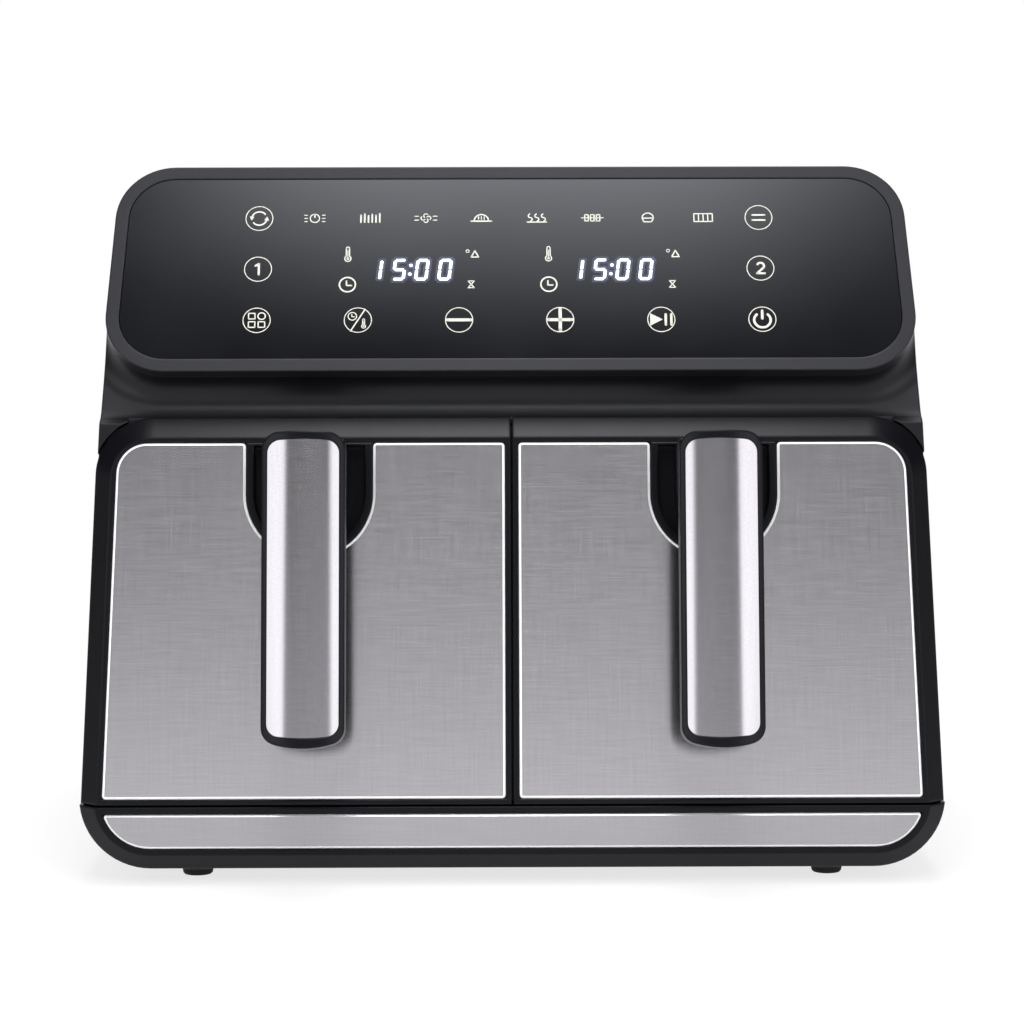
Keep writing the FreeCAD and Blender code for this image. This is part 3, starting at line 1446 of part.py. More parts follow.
def make_temperature_probe():
    body = new_body("temperature_probe_left", x=f"{LEFT_X} + {PROBE[0]}", y=PROBE[1])
    length, flange_half, flange_thick = 22, 5, 3
    tip = f"({BAY_CEILING} - {length})"
    prism(body, "XY", [{"x": "0", "y": "0", "radius": PROBE_RADIUS}], tip, f"{DECK_TOP} - {tip}")
    flange = box_outline(-flange_half, flange_half, -flange_half, flange_half)
    prism(body, "XY", [flange], DECK_TOP, flange_thick)
    return body


# The two fans on a shaft: where they sit, and how high, how many blades and how wide a hub each has
HOT_FAN_DROP = 22
COOL_FAN_RISE = 4
HOT_FAN_Z = f"({BAY_CEILING} - {HOT_FAN_DROP})"
COOL_FAN_Z = f"({MOTOR_TOP} + {COOL_FAN_RISE})"
HOT_FAN = {"height": 16, "blades": 12, "hub": 10}
COOL_FAN = {"height": 11, "blades": 9, "hub": 8}
SHAFT_STUB = 12
BLADE_GAP = 8
BLADE_HALF = 0.7


def make_fan_shaft():
    body = fan_body("fan_shaft_left")
    foot = f"{HOT_FAN_Z} - 2"
    circle = {"x": "0", "y": "0", "radius": "dims.shaft_radius"}
    prism(body, "XY", [circle], foot, f"{COOL_FAN_Z} + {SHAFT_STUB} - ({foot})")
    return body


def make_impeller(label, radius, level, height, blades, hub):
    """A back plate with a hub and upright blades round an upright axis."""
    body = fan_body(label)
    centre = {"x": "0", "y": "0"}
    prism(body, "XY", [{**centre, "radius": radius}], f"{level} + {height} - 1", "1")
    prism(body, "XY", [{**centre, "radius": hub}], level, height)
    blade = box_outline(f"{hub} + {BLADE_GAP}", f"{radius} - 1", -BLADE_HALF, BLADE_HALF)
    repeat_round(body, prism(body, "XY", [blade], level, f"{height} - 0.5"), blades)
    pocket(body, "XY", [{**centre, "radius": "dims.shaft_radius"}], f"{level} - 1", f"{height} + 2")
    return body


# The boss under a motor, and the folded sheet bracket that the motor stands on
MOTOR_BOSS = 9
MOTOR_BOSS_DROP = 5
BRACKET_SHEET = 1.5
BRACKET_HALF = 20
BRACKET_MARGIN = 6
BRACKET_FOOT = 9


def make_motor():
    body = fan_body("motor_left")
    bore = f"dims.shaft_radius + {RUNNING_FIT}"
    boss_foot = f"{MOTOR_Z} - {MOTOR_BOSS_DROP}"
    profile = [
        (bore, boss_foot),
        (MOTOR_BOSS, boss_foot),
        (MOTOR_BOSS, MOTOR_Z),
        ("dims.motor_radius", MOTOR_Z),
        ("dims.motor_radius", MOTOR_TOP),
        (bore, MOTOR_TOP),
    ]
    turned(body, profile)
    return body


def make_motor_bracket():
    body = new_body("motor_bracket_left")
    reach = f"(dims.motor_radius + {BRACKET_MARGIN})"
    left, right = f"({LEFT_X} - {reach})", f"({LEFT_X} + {reach})"
    near, far = f"{FAN_Y} - {BRACKET_HALF}", f"{FAN_Y} + {BRACKET_HALF}"
    prism(body, "XY", [box_outline(left, right, near, far)], f"{MOTOR_Z} - {BRACKET_SHEET}", BRACKET_SHEET)
    legs = [
        box_outline(left, f"{left} + {BRACKET_SHEET}", near, far),
        box_outline(f"{right} - {BRACKET_SHEET}", right, near, far),
    ]
    prism(body, "XY", legs, DECK_TOP, f"{MOTOR_Z} - {DECK_TOP}")
    lap = 0.5
    feet = [
        box_outline(f"{left} - {BRACKET_FOOT}", f"{left} + {lap}", near, far),
        box_outline(f"{right} - {lap}", f"{right} + {BRACKET_FOOT}", near, far),
    ]
    prism(body, "XY", feet, DECK_TOP, BRACKET_SHEET)
    bore = {"x": LEFT_X, "y": FAN_Y, "radius": MOTOR_BOSS + 0.2}
    pocket(body, "XY", [bore], f"{MOTOR_Z} - {OVERRUN - 1}", 2 * (OVERRUN - 1))
    return body


# Electrics over the heat shield

BOARD_RISE = 10
BOARD_AHEAD = 20
BOARD_LENGTH = 115
BOARD_HALF = 38
BOARD_POST_INSET = 6
BOARD_POST_REACH = 3
BOARD_Z = f"({DECK_TOP} + {BOARD_RISE})"
BOARD_FRONT = f"({FAN_Y} - {BOARD_AHEAD})"


def make_power_board():
    return block(
        "power_board", f"-{BOARD_HALF}", BOARD_FRONT, BOARD_Z, 2 * BOARD_HALF, BOARD_LENGTH, BOARD_THICK,
    )


def make_board_posts():
    posts = []
    outline = six_sides("0", "0", BOARD_POST_REACH)
    for x in (BOARD_POST_INSET - BOARD_HALF, BOARD_HALF - BOARD_POST_INSET):
        for y in (BOARD_POST_INSET, BOARD_LENGTH - BOARD_POST_INSET):
            spacer = new_body(f"board_post_{len(posts)}", x=str(x), y=f"{BOARD_FRONT} + {y}")
            prism(spacer, "XY", [outline], DECK_TOP, f"{BOARD_Z} - {DECK_TOP}")
            posts.append(spacer)
    return grouped("board_posts", posts)


def make_power_components():
    """Bought-in pieces on the board, each with its place on it and its own size."""
    level = f"({BOARD_Z} + {BOARD_THICK})"
    pieces = [
        block("transformer", "-28", f"{BOARD_FRONT} + 14", level, "34", "28", "24"),
        block("relay_left", "-30", f"{BOARD_FRONT} + 56", level, "19", "16", "15"),
        block("relay_right", "-30", f"{BOARD_FRONT} + 82", level, "19", "16", "15"),
        block("filter_choke", "4", f"{BOARD_FRONT} + 60", level, "24", "18", "16"),
        post("capacitor", "22", f"{BOARD_FRONT} + 26", level, "8", "26"),
        block("terminal_strip", "-4", f"{BOARD_FRONT} + 94", level, "34", "11", "12"),
    ]
    return grouped("power_components", pieces)


def make_thermal_cutouts():
    left_of_fan, ahead_of_fan = 58, 62
    length, width, height = 16, 10, 7
    left = block(
        "cutout_left", f"{LEFT_X} - {left_of_fan}", f"{FAN_Y} - {ahead_of_fan}", DECK_TOP,
        length, width, height,
    )
    return grouped("thermal_cutouts", [left, mirrored("cutout_right", left)])


def pair(label, left):
    """A left-hand piece and its right-hand twin as separate parts."""
    return {f"{label}_left": left, f"{label}_right": mirrored(f"{label}_right", left)}


def both(label, left):
    """A left-hand piece and its right-hand twin as one group."""
    return {label: grouped(label, [left, mirrored(f"{label}_twin", left)])}


def make_parts():
    handle, cover, screws = make_handle()
    parts = {
        "housing_shell": make_housing_shell(),
        "panel_frame": make_panel_frame(),
        "control_glass": make_control_glass(),
        "control_board": make_control_board(),
        "led_displays": make_led_displays(),
        "front_frame": make_front_frame(),
        "rear_cover": make_rear_cover(),
        "cord_gland": make_cord_gland(),
        "base_tray": make_base_tray(),
        "base_trim": make_base_trim(),
        "rubber_feet": make_rubber_feet(),
        "reed_sensors": make_reed_sensors(),
        "heat_shield": make_heat_shield(),
        "power_board": make_power_board(),
        "power_components": make_power_components(),
        "board_posts": make_board_posts(),
        "thermal_cutouts": make_thermal_cutouts(),
    }
    parts.update(pair("drawer_front", make_drawer_front()))
    parts.update(pair("drawer_facing", make_drawer_facing()))
    parts.update(pair("drawer_box", make_drawer_box()))
    parts.update(pair("drawer_magnet", make_drawer_magnet()))
    parts.update(pair("handle_socket", make_handle_socket()))
    parts.update(pair("handle_body", handle))
    parts.update(pair("handle_cover", cover))
    parts.update(pair("handle_screws", screws))
    parts.update(pair("basket", make_basket()))
    parts.update(pair("crisper_plate", make_crisper_plate()))
    parts.update(pair("plate_bumpers", make_plate_bumpers()))
    parts.update(pair("cavity", make_cavity()))
    parts.update(pair("fan_guard", make_fan_guard()))
    parts.update(pair("heater", make_heater()))
    parts.update(pair("fan_shaft", make_fan_shaft()))
    hot_fan = make_impeller("hot_fan_left", "dims.hot_fan_radius", HOT_FAN_Z, **HOT_FAN)
    parts.update(pair("hot_fan", hot_fan))
    cool_fan = make_impeller("cooling_fan_left", "dims.cool_fan_radius", COOL_FAN_Z, **COOL_FAN)
    parts.update(pair("cooling_fan", cool_fan))
    parts.update(pair("motor", make_motor()))
    parts.update(both("motor_brackets", make_motor_bracket()))
    parts.update(both("exhaust_ducts", make_exhaust_duct()))
    parts.update(both("temperature_probes", make_temperature_probe()))
    parts.update(both("runner_rails", make_runner_rails()))
    return parts


parts = make_parts()
doc.recompute()

for item in doc.Objects:
    if "Invalid" in item.State or "Error" in item.State:
        raise RuntimeError(f"{item.Label} failed: {item.State}")
os.makedirs("parts", exist_ok=True)
for label, item in parts.items():
    item.Label = label
    if item.Shape.isNull() or not item.Shape.isValid():
        raise RuntimeError(f"{label} has no valid shape")
    item.Shape.exportStep(f"parts/{label}.step")
print(len(parts), "parts written")
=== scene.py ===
import json
import math

import bpy
from mathutils import Matrix, Vector


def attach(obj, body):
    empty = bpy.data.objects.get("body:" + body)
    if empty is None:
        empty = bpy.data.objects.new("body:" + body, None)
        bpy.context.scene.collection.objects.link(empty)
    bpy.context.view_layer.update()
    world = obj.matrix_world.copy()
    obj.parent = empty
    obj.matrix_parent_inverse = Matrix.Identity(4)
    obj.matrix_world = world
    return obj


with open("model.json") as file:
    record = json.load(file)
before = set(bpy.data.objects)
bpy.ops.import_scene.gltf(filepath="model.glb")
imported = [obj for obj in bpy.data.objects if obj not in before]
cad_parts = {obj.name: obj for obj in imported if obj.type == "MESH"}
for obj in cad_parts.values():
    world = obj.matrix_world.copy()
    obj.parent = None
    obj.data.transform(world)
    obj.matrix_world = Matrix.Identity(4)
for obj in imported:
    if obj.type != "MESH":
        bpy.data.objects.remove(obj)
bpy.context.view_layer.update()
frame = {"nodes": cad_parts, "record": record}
scene = bpy.context.scene
nodes = frame["nodes"]
MM = 0.001


# Shader helpers

# Most of a noise value lies between these
NOISE_LOW = 0.3
NOISE_HIGH = 0.7
BEVEL_SAMPLES = 6


def map_range(tree, value, start, end, low, high):
    """A value mapped from one range to another in any node tree."""
    limits = tree.nodes.new("ShaderNodeMapRange")
    for socket, number in (("From Min", start), ("From Max", end), ("To Min", low), ("To Max", high)):
        limits.inputs[socket].default_value = number
    tree.links.new(value, limits.inputs["Value"])
    return limits.outputs["Result"]


def math_node(tree, operation, first, second=None):
    """A calculation on one or two values in any node tree. The second may be a plain number."""
    node = tree.nodes.new("ShaderNodeMath")
    node.operation = operation
    tree.links.new(first, node.inputs[0])
    if isinstance(second, float):
        node.inputs[1].default_value = second
    elif second:
        tree.links.new(second, node.inputs[1])
    return node.outputs["Value"]


def two_colours(tree, value, stops):
    """A ramp between two colours at two places, read by a value in any node tree."""
    ramp = tree.nodes.new("ShaderNodeValToRGB")
    for element, (place, colour) in zip(ramp.color_ramp.elements, stops):
        element.position = place
        element.color = (*colour, 1.0)
    tree.links.new(value, ramp.inputs["Fac"])
    return ramp.outputs["Color"]


def mixed_colours(tree, share, first=None, second=None):
    """A mix of two colours by a share in any node tree. A colour not given is left to be joined."""
    mix = tree.nodes.new("ShaderNodeMix")
    mix.data_type = "RGBA"
    for socket, colour in (("A", first), ("B", second)):
        if colour:
            mix.inputs[socket].default_value = colour
    tree.links.new(share, mix.inputs["Factor"])
    return mix


class Shader:
    """A material with a Principled surface, and short ways to add nodes to it."""

    def __init__(self, name, colour, roughness, metallic=0.0):
        self.material = bpy.data.materials.new(name)
        self.material.use_nodes = True
        self.tree = self.material.node_tree
        self.surface = self.tree.nodes["Principled BSDF"]
        self.set("Base Color", (*colour, 1.0))
        self.set("Roughness", roughness)
        self.set("Metallic", metallic)
        self.place = self.add("ShaderNodeTexCoord").outputs["Object"]

    def add(self, kind, **settings):
        """A new node with its settings."""
        node = self.tree.nodes.new(kind)
        for key, value in settings.items():
            setattr(node, key, value)
        return node

    def join(self, source, target):
        self.tree.links.new(source, target)

    def set(self, socket, value):
        """Sets a plain value of the surface."""
        self.surface.inputs[socket].default_value = value

    def noise(self, scale, detail=2.0, stretch=(1.0, 1.0, 1.0)):
        """Noise of so many features to the metre, stretched by its scale along each axis."""
        mapping = self.add("ShaderNodeMapping")
        mapping.inputs["Scale"].default_value = stretch
        self.join(self.place, mapping.inputs["Vector"])
        noise = self.add("ShaderNodeTexNoise")
        noise.inputs["Scale"].default_value = scale
        noise.inputs["Detail"].default_value = detail
        self.join(mapping.outputs["Vector"], noise.inputs["Vector"])
        return noise.outputs["Fac"]

    def spread(self, value, low, high, start=NOISE_LOW, end=NOISE_HIGH):
        """A value mapped from a range, the usual one of a noise, to a low and a high."""
        return map_range(self.tree, value, start, end, low, high)

    def tint(self, value, dark, light):
        """Two colours mixed by a noise value."""
        mixed = two_colours(self.tree, value, ((NOISE_LOW, dark), (NOISE_HIGH, light)))
        self.join(mixed, self.surface.inputs["Base Color"])

    def vary_roughness(self, value, low, high):
        """Spreads the roughness between a low and a high by a noise value."""
        self.join(self.spread(value, low, high), self.surface.inputs["Roughness"])

    def bump(self, value, depth, edge=0.0):
        """Raises the surface by a noise value, to a depth in metres, over edges rounded to a radius."""
        bump = self.add("ShaderNodeBump")
        bump.inputs["Distance"].default_value = depth
        self.join(value, bump.inputs["Height"])
        if edge:
            rounding = self.add("ShaderNodeBevel", samples=BEVEL_SAMPLES)
            rounding.inputs["Radius"].default_value = edge
            self.join(rounding.outputs["Normal"], bump.inputs["Normal"])
        self.join(bump.outputs["Normal"], self.surface.inputs["Normal"])

    def turned_from(self, direction, near, far):
        """0 where the surface faces a direction, 1 where it turns away from it, by the cosine between."""
        turn = self.add("ShaderNodeVectorMath", operation="DOT_PRODUCT")
        turn.inputs[1].default_value = direction
        self.join(self.add("ShaderNodeNewGeometry").outputs["True Normal"], turn.inputs[0])
        return self.spread(turn.outputs["Value"], 0.0, 1.0, near, far)


def scaled(colour, factor):
    """A colour made darker or lighter."""
    return tuple(min(channel * factor, 1.0) for channel in colour)


# Moulded plastic: the cool tone of its gloss, its darkest and lightest tints, and how far its
# roughness wavers
PLASTIC_SHEEN = (0.93, 0.94, 1.0, 1.0)
PLASTIC_TINTS = (0.94, 1.06)
PLASTIC_WAVER = 0.012


def moulded(name, colour, roughness, grain=0.6 * MM, depth=0.02 * MM, edge=1.0 * MM, gloss=0.3):
    """Moulded plastic or rubber: a fine even grain, soft edges, and a sheen that varies a little."""
    shader = Shader(name, colour, roughness)
    shader.set("Specular IOR Level", gloss)
    shader.set("Specular Tint", PLASTIC_SHEEN)
    shader.tint(shader.noise(35), *(scaled(colour, factor) for factor in PLASTIC_TINTS))
    shader.vary_roughness(shader.noise(60, 4), roughness - PLASTIC_WAVER, roughness + PLASTIC_WAVER)
    shader.bump(shader.noise(1 / grain, 3), depth, edge)
    return shader


def front_face(node):
    """The largest face of a node that looks to the front."""
    faces = (face for face in nodes[node].data.polygons if face.normal.y < 0)
    return max(faces, key=lambda face: face.area)


# Brushed steel: scratches to the metre along each axis, how far the cross marks count, the darkest
# and lightest grain, how far its roughness wavers, how deep the scratches are, and the cosines to
# the facings' front between which the painted edge highlight starts on a cut edge
FACING_FRONT = front_face("drawer_facing_left").normal.normalized()
LONG_SCRATCHES = (60, 2300, 2300)
CROSS_MARKS = (1900, 50, 50)
CROSS_SHARE = 0.4
GRAIN_TINTS = (0.93, 1.07)
STEEL_WAVER = 0.015
SCRATCH_DEPTH = 0.0004 * MM
PAINTED_HIGHLIGHT_LIMITS = (0.86, 0.80)
WHITE = (1.0, 1.0, 1.0, 1.0)


def brushed(name, colour, roughness, painted_edge_highlight=True):
    """Brushed steel: fine scratches from side to side, with gloss drawn out across them.

    Edges cut at a slant to the facings' front get a painted highlight, plain white and not metal, unless
    it is switched off.
    """
    shader = Shader(name, colour, roughness, metallic=1.0)
    both = shader.add("ShaderNodeMix")
    both.inputs["Factor"].default_value = CROSS_SHARE
    shader.join(shader.noise(1.0, 2, LONG_SCRATCHES), both.inputs["A"])
    shader.join(shader.noise(1.0, 2, CROSS_MARKS), both.inputs["B"])
    scratches = both.outputs["Result"]
    dark, light = ((*scaled(colour, factor), 1.0) for factor in GRAIN_TINTS)
    grain = mixed_colours(shader.tree, shader.spread(scratches, 0.0, 1.0), dark, light)
    finish = grain
    # Painted highlight: edges turned from the facings' front are made plain white and lose their metal
    if painted_edge_highlight:
        edge = shader.turned_from(FACING_FRONT, *PAINTED_HIGHLIGHT_LIMITS)
        finish = mixed_colours(shader.tree, edge, second=WHITE)
        shader.join(grain.outputs["Result"], finish.inputs["A"])
        shader.join(shader.spread(edge, 1.0, 0.0, 0.0, 1.0), shader.surface.inputs["Metallic"])
    shader.join(finish.outputs["Result"], shader.surface.inputs["Base Color"])
    shader.vary_roughness(scratches, roughness - STEEL_WAVER, roughness + STEEL_WAVER)
    shader.bump(scratches, SCRATCH_DEPTH)
    shader.set("Anisotropic", 0.85)
    across = shader.add("ShaderNodeCombineXYZ")
    across.inputs["Z"].default_value = 1.0
    shader.join(across.outputs["Vector"], shader.surface.inputs["Tangent"])
    return shader


def sheet_metal(name, colour, roughness):
    """Plain rolled sheet or turned metal, with faint rolling marks."""
    marks_to_the_metre = (900, 60, 900)
    waver, mark_depth = 0.08, 0.004 * MM
    shader = Shader(name, colour, roughness, metallic=1.0)
    marks = shader.noise(1.0, 4, marks_to_the_metre)
    shader.tint(shader.noise(25, 3), scaled(colour, 0.85), scaled(colour, 1.1))
    shader.vary_roughness(marks, roughness - waver, roughness + waver)
    shader.bump(marks, mark_depth)
    return shader


def coated(name, colour, roughness):
    """Dark non-stick coating with small pale speckles."""
    speckle_start, speckle_end, speckle_light = 0.70, 0.78, 6
    smoother, rougher, grain_depth = 0.05, 0.08, 0.01 * MM
    shader = Shader(name, colour, roughness)
    stops = ((speckle_start, colour), (speckle_end, scaled(colour, speckle_light)))
    speckled = two_colours(shader.tree, shader.noise(900, 1), stops)
    shader.join(speckled, shader.surface.inputs["Base Color"])
    shader.vary_roughness(shader.noise(200, 3), roughness - smoother, roughness + rougher)
    shader.bump(shader.noise(1200, 2), grain_depth)
    return shader


def panel_glass(name):
    """Gloss glass over a black printed back, with the faintest haze of handling."""
    clean, hazy = (0.005, 0.0052, 0.0064), (0.0075, 0.0078, 0.0095)
    smooth, rough = 0.05, 0.09
    shader = Shader(name, clean, smooth)
    haze = shader.noise(18, 4)
    shader.tint(haze, clean, hazy)
    shader.vary_roughness(haze, smooth, rough)
    shader.set("IOR", 1.5)
    shader.set("Specular Tint", (0.90, 0.93, 1.0, 1.0))
    return shader


def printed_with_painted_glow(name, colour):
    """Pale screen-printed ink, a little uneven, with a faint painted glow."""
    shader = Shader(name, colour, 0.55)
    shader.tint(shader.noise(2500, 2), scaled(colour, 0.86), scaled(colour, 1.06))
    # Painted glow: the ink gives off a little light of its own
    shader.set("Emission Color", (*colour, 1.0))
    shader.set("Emission Strength", 0.05)
    return shader


def lit(name, colour, strength):
    """A lit display segment."""
    shader = Shader(name, colour, 0.4)
    shader.tint(shader.noise(1500, 1), scaled(colour, 0.95), colour)
    shader.set("Emission Color", (*colour, 1.0))
    shader.set("Emission Strength", strength)
    return shader


# The material of each slot of the record, and of the nodes whose finish or painted shade differs from
# their slot's
BLACK = (0.0042, 0.0042, 0.0058)
STEEL = (0.67, 0.648, 0.69)
SLOT_SHADERS = {
    "housing_plastic": moulded("housing_plastic", BLACK, 0.38, gloss=0.30),
    "panel_frame_plastic": moulded("panel_frame_plastic", (0.010, 0.010, 0.0125), 0.42, gloss=0.25),
    "panel_glass": panel_glass("panel_glass"),
    "drawer_plastic": moulded(
        "drawer_plastic", (0.0035, 0.0035, 0.0050), 0.30,
        grain=0.4 * MM, depth=0.01 * MM, edge=1.4 * MM, gloss=0.18,
    ),
    "brushed_facing": brushed("brushed_facing", STEEL, 0.17),
    "foot_rubber": moulded(
        "foot_rubber", (0.018, 0.018, 0.018), 0.75, grain=0.8 * MM, depth=0.04 * MM,
    ),
    "bumper_silicone": moulded("bumper_silicone", (0.028, 0.028, 0.028), 0.6),
    "nonstick": coated("nonstick", (0.028, 0.028, 0.030), 0.38),
    "cavity_sheet": sheet_metal("cavity_sheet", (0.50, 0.50, 0.50), 0.38),
    "element_steel": sheet_metal("element_steel", (0.20, 0.19, 0.18), 0.45),
    "fan_metal": sheet_metal("fan_metal", (0.62, 0.62, 0.63), 0.33),
    "shaft_steel": sheet_metal("shaft_steel", (0.55, 0.55, 0.56), 0.25),
    "motor_paint": moulded("motor_paint", (0.11, 0.11, 0.12), 0.45),
    "board_green": moulded("board_green", (0.015, 0.10, 0.035), 0.40),
    "component_plastic": moulded("component_plastic", (0.028, 0.028, 0.030), 0.35),
}
# Painted shade: the trim and the handle covers are the facing steel darkened
TRIM_PAINTED_SHADE = brushed("brushed_trim_painted_shade", scaled(STEEL, 0.64), 0.30)
COVER_PAINTED_SHADE = brushed("brushed_cover_painted_shade", scaled(STEEL, 0.62), 0.19, painted_edge_highlight=False)
BASE = moulded(
    "base_plastic", BLACK, 0.32, grain=0.4 * MM, depth=0.01 * MM, edge=1.6 * MM, gloss=0.13,
)
NODE_SHADERS = {
    "base_tray": BASE,
    "base_trim": TRIM_PAINTED_SHADE,
    "handle_cover_left": COVER_PAINTED_SHADE,
    "handle_cover_right": COVER_PAINTED_SHADE,
}
INK_WITH_PAINTED_GLOW = printed_with_painted_glow("panel_ink_painted_glow", (0.56, 0.555, 0.49))
DISPLAY = lit("display_light", (0.90, 0.93, 1.0), 0.95)
HALO = lit("display_halo", (0.42, 0.50, 0.95), 0.5)
HALO.set("Alpha", 0.06)

for row in frame["record"]["subparts"]:
    mesh = nodes[row["node"]].data
    mesh.materials.clear()
    shader = NODE_SHADERS.get(row["node"], SLOT_SHADERS[row["material_slot"]])
    mesh.materials.append(shader.material)


# Control panel prints, drawn in the plane of the glass

def glass_plane():
    """The middle of the glass's front face, as a matrix: across, up the glass, out of it."""
    out = front_face("control_glass").normal.normalized()
    up = Vector((1, 0, 0)).cross(out) * -1
    points = [vertex.co for vertex in nodes["control_glass"].data.vertices]
    level = max(point.dot(out) for point in points)
    flatness = 0.01 * MM
    heights = [point.dot(up) for point in points if point.dot(out) > level - flatness]
    middle = out * level + up * (min(heights) + max(heights)) / 2
    turn = Matrix((Vector((1, 0, 0)), up, out)).transposed().to_4x4()
    return Matrix.Translation(middle) @ turn


class Print:
    """Flat shapes in millimetres on the glass, gathered into one mesh."""

    def __init__(self, x, y):
        self.x, self.y = x, y
        self.points, self.faces = [], []

    def shape(self, outline):
        """A filled outline of (x, y) corners, from the print's own middle."""
        first = len(self.points)
        self.points += [(self.x + x, self.y + y) for x, y in outline]
        self.faces.append(list(range(first, len(self.points))))

    def ring(self, x, y, radius, width, start=0, end=360, steps=40):
        """A ring, or an arc of it between two turns in degrees."""
        turns = [math.radians(start + (end - start) * i / steps) for i in range(steps + 1)]
        outer, inner = radius + width / 2, radius - width / 2
        for one, two in zip(turns, turns[1:]):
            self.shape([
                (x + reach * math.cos(turn), y + reach * math.sin(turn))
                for reach, turn in ((inner, one), (outer, one), (outer, two), (inner, two))
            ])

    def disc(self, x, y, radius, steps=20):
        """A filled circle."""
        turns = [2 * math.pi * i / steps for i in range(steps)]
        self.shape([(x + radius * math.cos(turn), y + radius * math.sin(turn)) for turn in turns])

    def line(self, corners, width):
        """A line through corners, with round ends and joints."""
        for (ax, ay), (bx, by) in zip(corners, corners[1:]):
            length = math.hypot(bx - ax, by - ay)
            nx, ny = (by - ay) / length * width / 2, (ax - bx) / length * width / 2
            self.shape([(ax + nx, ay + ny), (bx + nx, by + ny), (bx - nx, by - ny), (ax - nx, ay - ny)])
        for x, y in corners:
            self.disc(x, y, width / 2, 12)

    def box(self, x, y, half_width, half_height, width):
        """A box outline."""
        corners = [(-1, -1), (1, -1), (1, 1), (-1, 1), (-1, -1)]
        self.line([(x + i * half_width, y + j * half_height) for i, j in corners], width)

    def finish(self, name, shader, lift):
        """Makes the piece, lifted off the glass by so much, and lets it ride on the housing."""
        mesh = bpy.data.meshes.new(name)
        mesh.from_pydata([(x * MM, y * MM, lift) for x, y in self.points], [], self.faces)
        mesh.materials.append(shader.material)
        piece = bpy.data.objects.new(name, mesh)
        scene.collection.objects.link(piece)
        piece.matrix_world = glass_plane()
        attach(piece, "housing")


# Places and sizes on the panel in millimetres, from the middle of the glass: the grid of keys, the
# programme marks over them, and the small signs on both sides of a display
KEY_COLUMNS = 6
KEY_PITCH = 45.35
KEY_SHIFT = -0.6
KEY_ROWS = (25.3, -0.5, -26.2)
KEY_RADIUS = 6.1
KEY_LINE = 0.40
LABEL_PITCH = 25.2
DISPLAY_SHIFT = 2.3
UNIT_REACH = 25.2
MARK_REACH = -30.5
MARK_ROWS = (7.0, -8.4)
THERMOMETER_HEIGHT = 7.3
CLOCK_RADIUS = 3.6
INK_LIFT = 0.05 * MM


def key(column, row):
    """A key's print with its outer circle."""
    print_ = Print(KEY_SHIFT + (column - (KEY_COLUMNS - 1) / 2) * KEY_PITCH, KEY_ROWS[row])
    print_.ring(0, 0, KEY_RADIUS, KEY_LINE, steps=56)
    return print_


def thermometer(print_, x, y, size, width):
    """An upright thermometer of a height."""
    bulb, neck = size * 0.19, size * 0.10
    foot = y - size / 2 + bulb
    top = y + size / 2 - neck
    gap = math.degrees(math.asin(neck / bulb))
    print_.ring(x, foot, bulb, width, 90 + gap, 450 - gap, 24)
    shoulder = foot + math.sqrt(bulb ** 2 - neck ** 2)
    for side in (-neck, neck):
        print_.line([(x + side, shoulder), (x + side, top)], width)
    print_.ring(x, top, neck, width, 0, 180, 12)
    print_.disc(x, foot, bulb * 0.45)
    print_.line([(x, foot), (x, top - size * 0.15)], width * 0.7)


def clock(print_, x, y, radius, width):
    """A round clock with two hands at a right angle."""
    print_.ring(x, y, radius, width)
    hand, offset = radius * 0.5, radius * 0.12
    corners = [(x - offset, y + hand), (x - offset, y - offset), (x + hand, y - offset)]
    print_.line(corners, width)


def arrow_loop(print_, radius, width):
    """Two arrows that chase each other round a circle."""
    tail_turn, neck_turn, head_turn = 35, 165, 172
    head_length, head_back, head_half = 1.5, 0.5, 1.1
    for turn in (0, 180):
        print_.ring(0, 0, radius, width, turn + tail_turn, turn + neck_turn, 20)
        tip = math.radians(turn + head_turn)
        x, y = radius * math.cos(tip), radius * math.sin(tip)
        ahead = Vector((-math.sin(tip), math.cos(tip)))
        side = Vector((math.cos(tip), math.sin(tip))) * head_half
        corners = [ahead * head_length, side - ahead * head_back, -side - ahead * head_back]
        print_.shape([(x + corner.x, y + corner.y) for corner in corners])


# The signs in the keys, by corners in millimetres from the middle of each key

def draw_left_keys():
    loop = key(0, 0)
    arrow_loop(loop, 3.4, 0.7)
    loop.finish("print_loop_key", INK_WITH_PAINTED_GLOW, INK_LIFT)

    one = key(0, 1)
    one.line([(-1.1, 1.7), (0.35, 2.7), (0.35, -2.7)], 1.0)
    one.finish("print_one_key", INK_WITH_PAINTED_GLOW, INK_LIFT)

    grid = key(0, 2)
    for x, y in ((-2.2, 2.1), (-2.2, -2.1), (2.2, -2.1)):
        grid.box(x, y, 1.45, 1.4, 0.55)
    grid.ring(2.2, 2.1, 1.65, 0.55)
    grid.finish("print_menu_key", INK_WITH_PAINTED_GLOW, INK_LIFT)


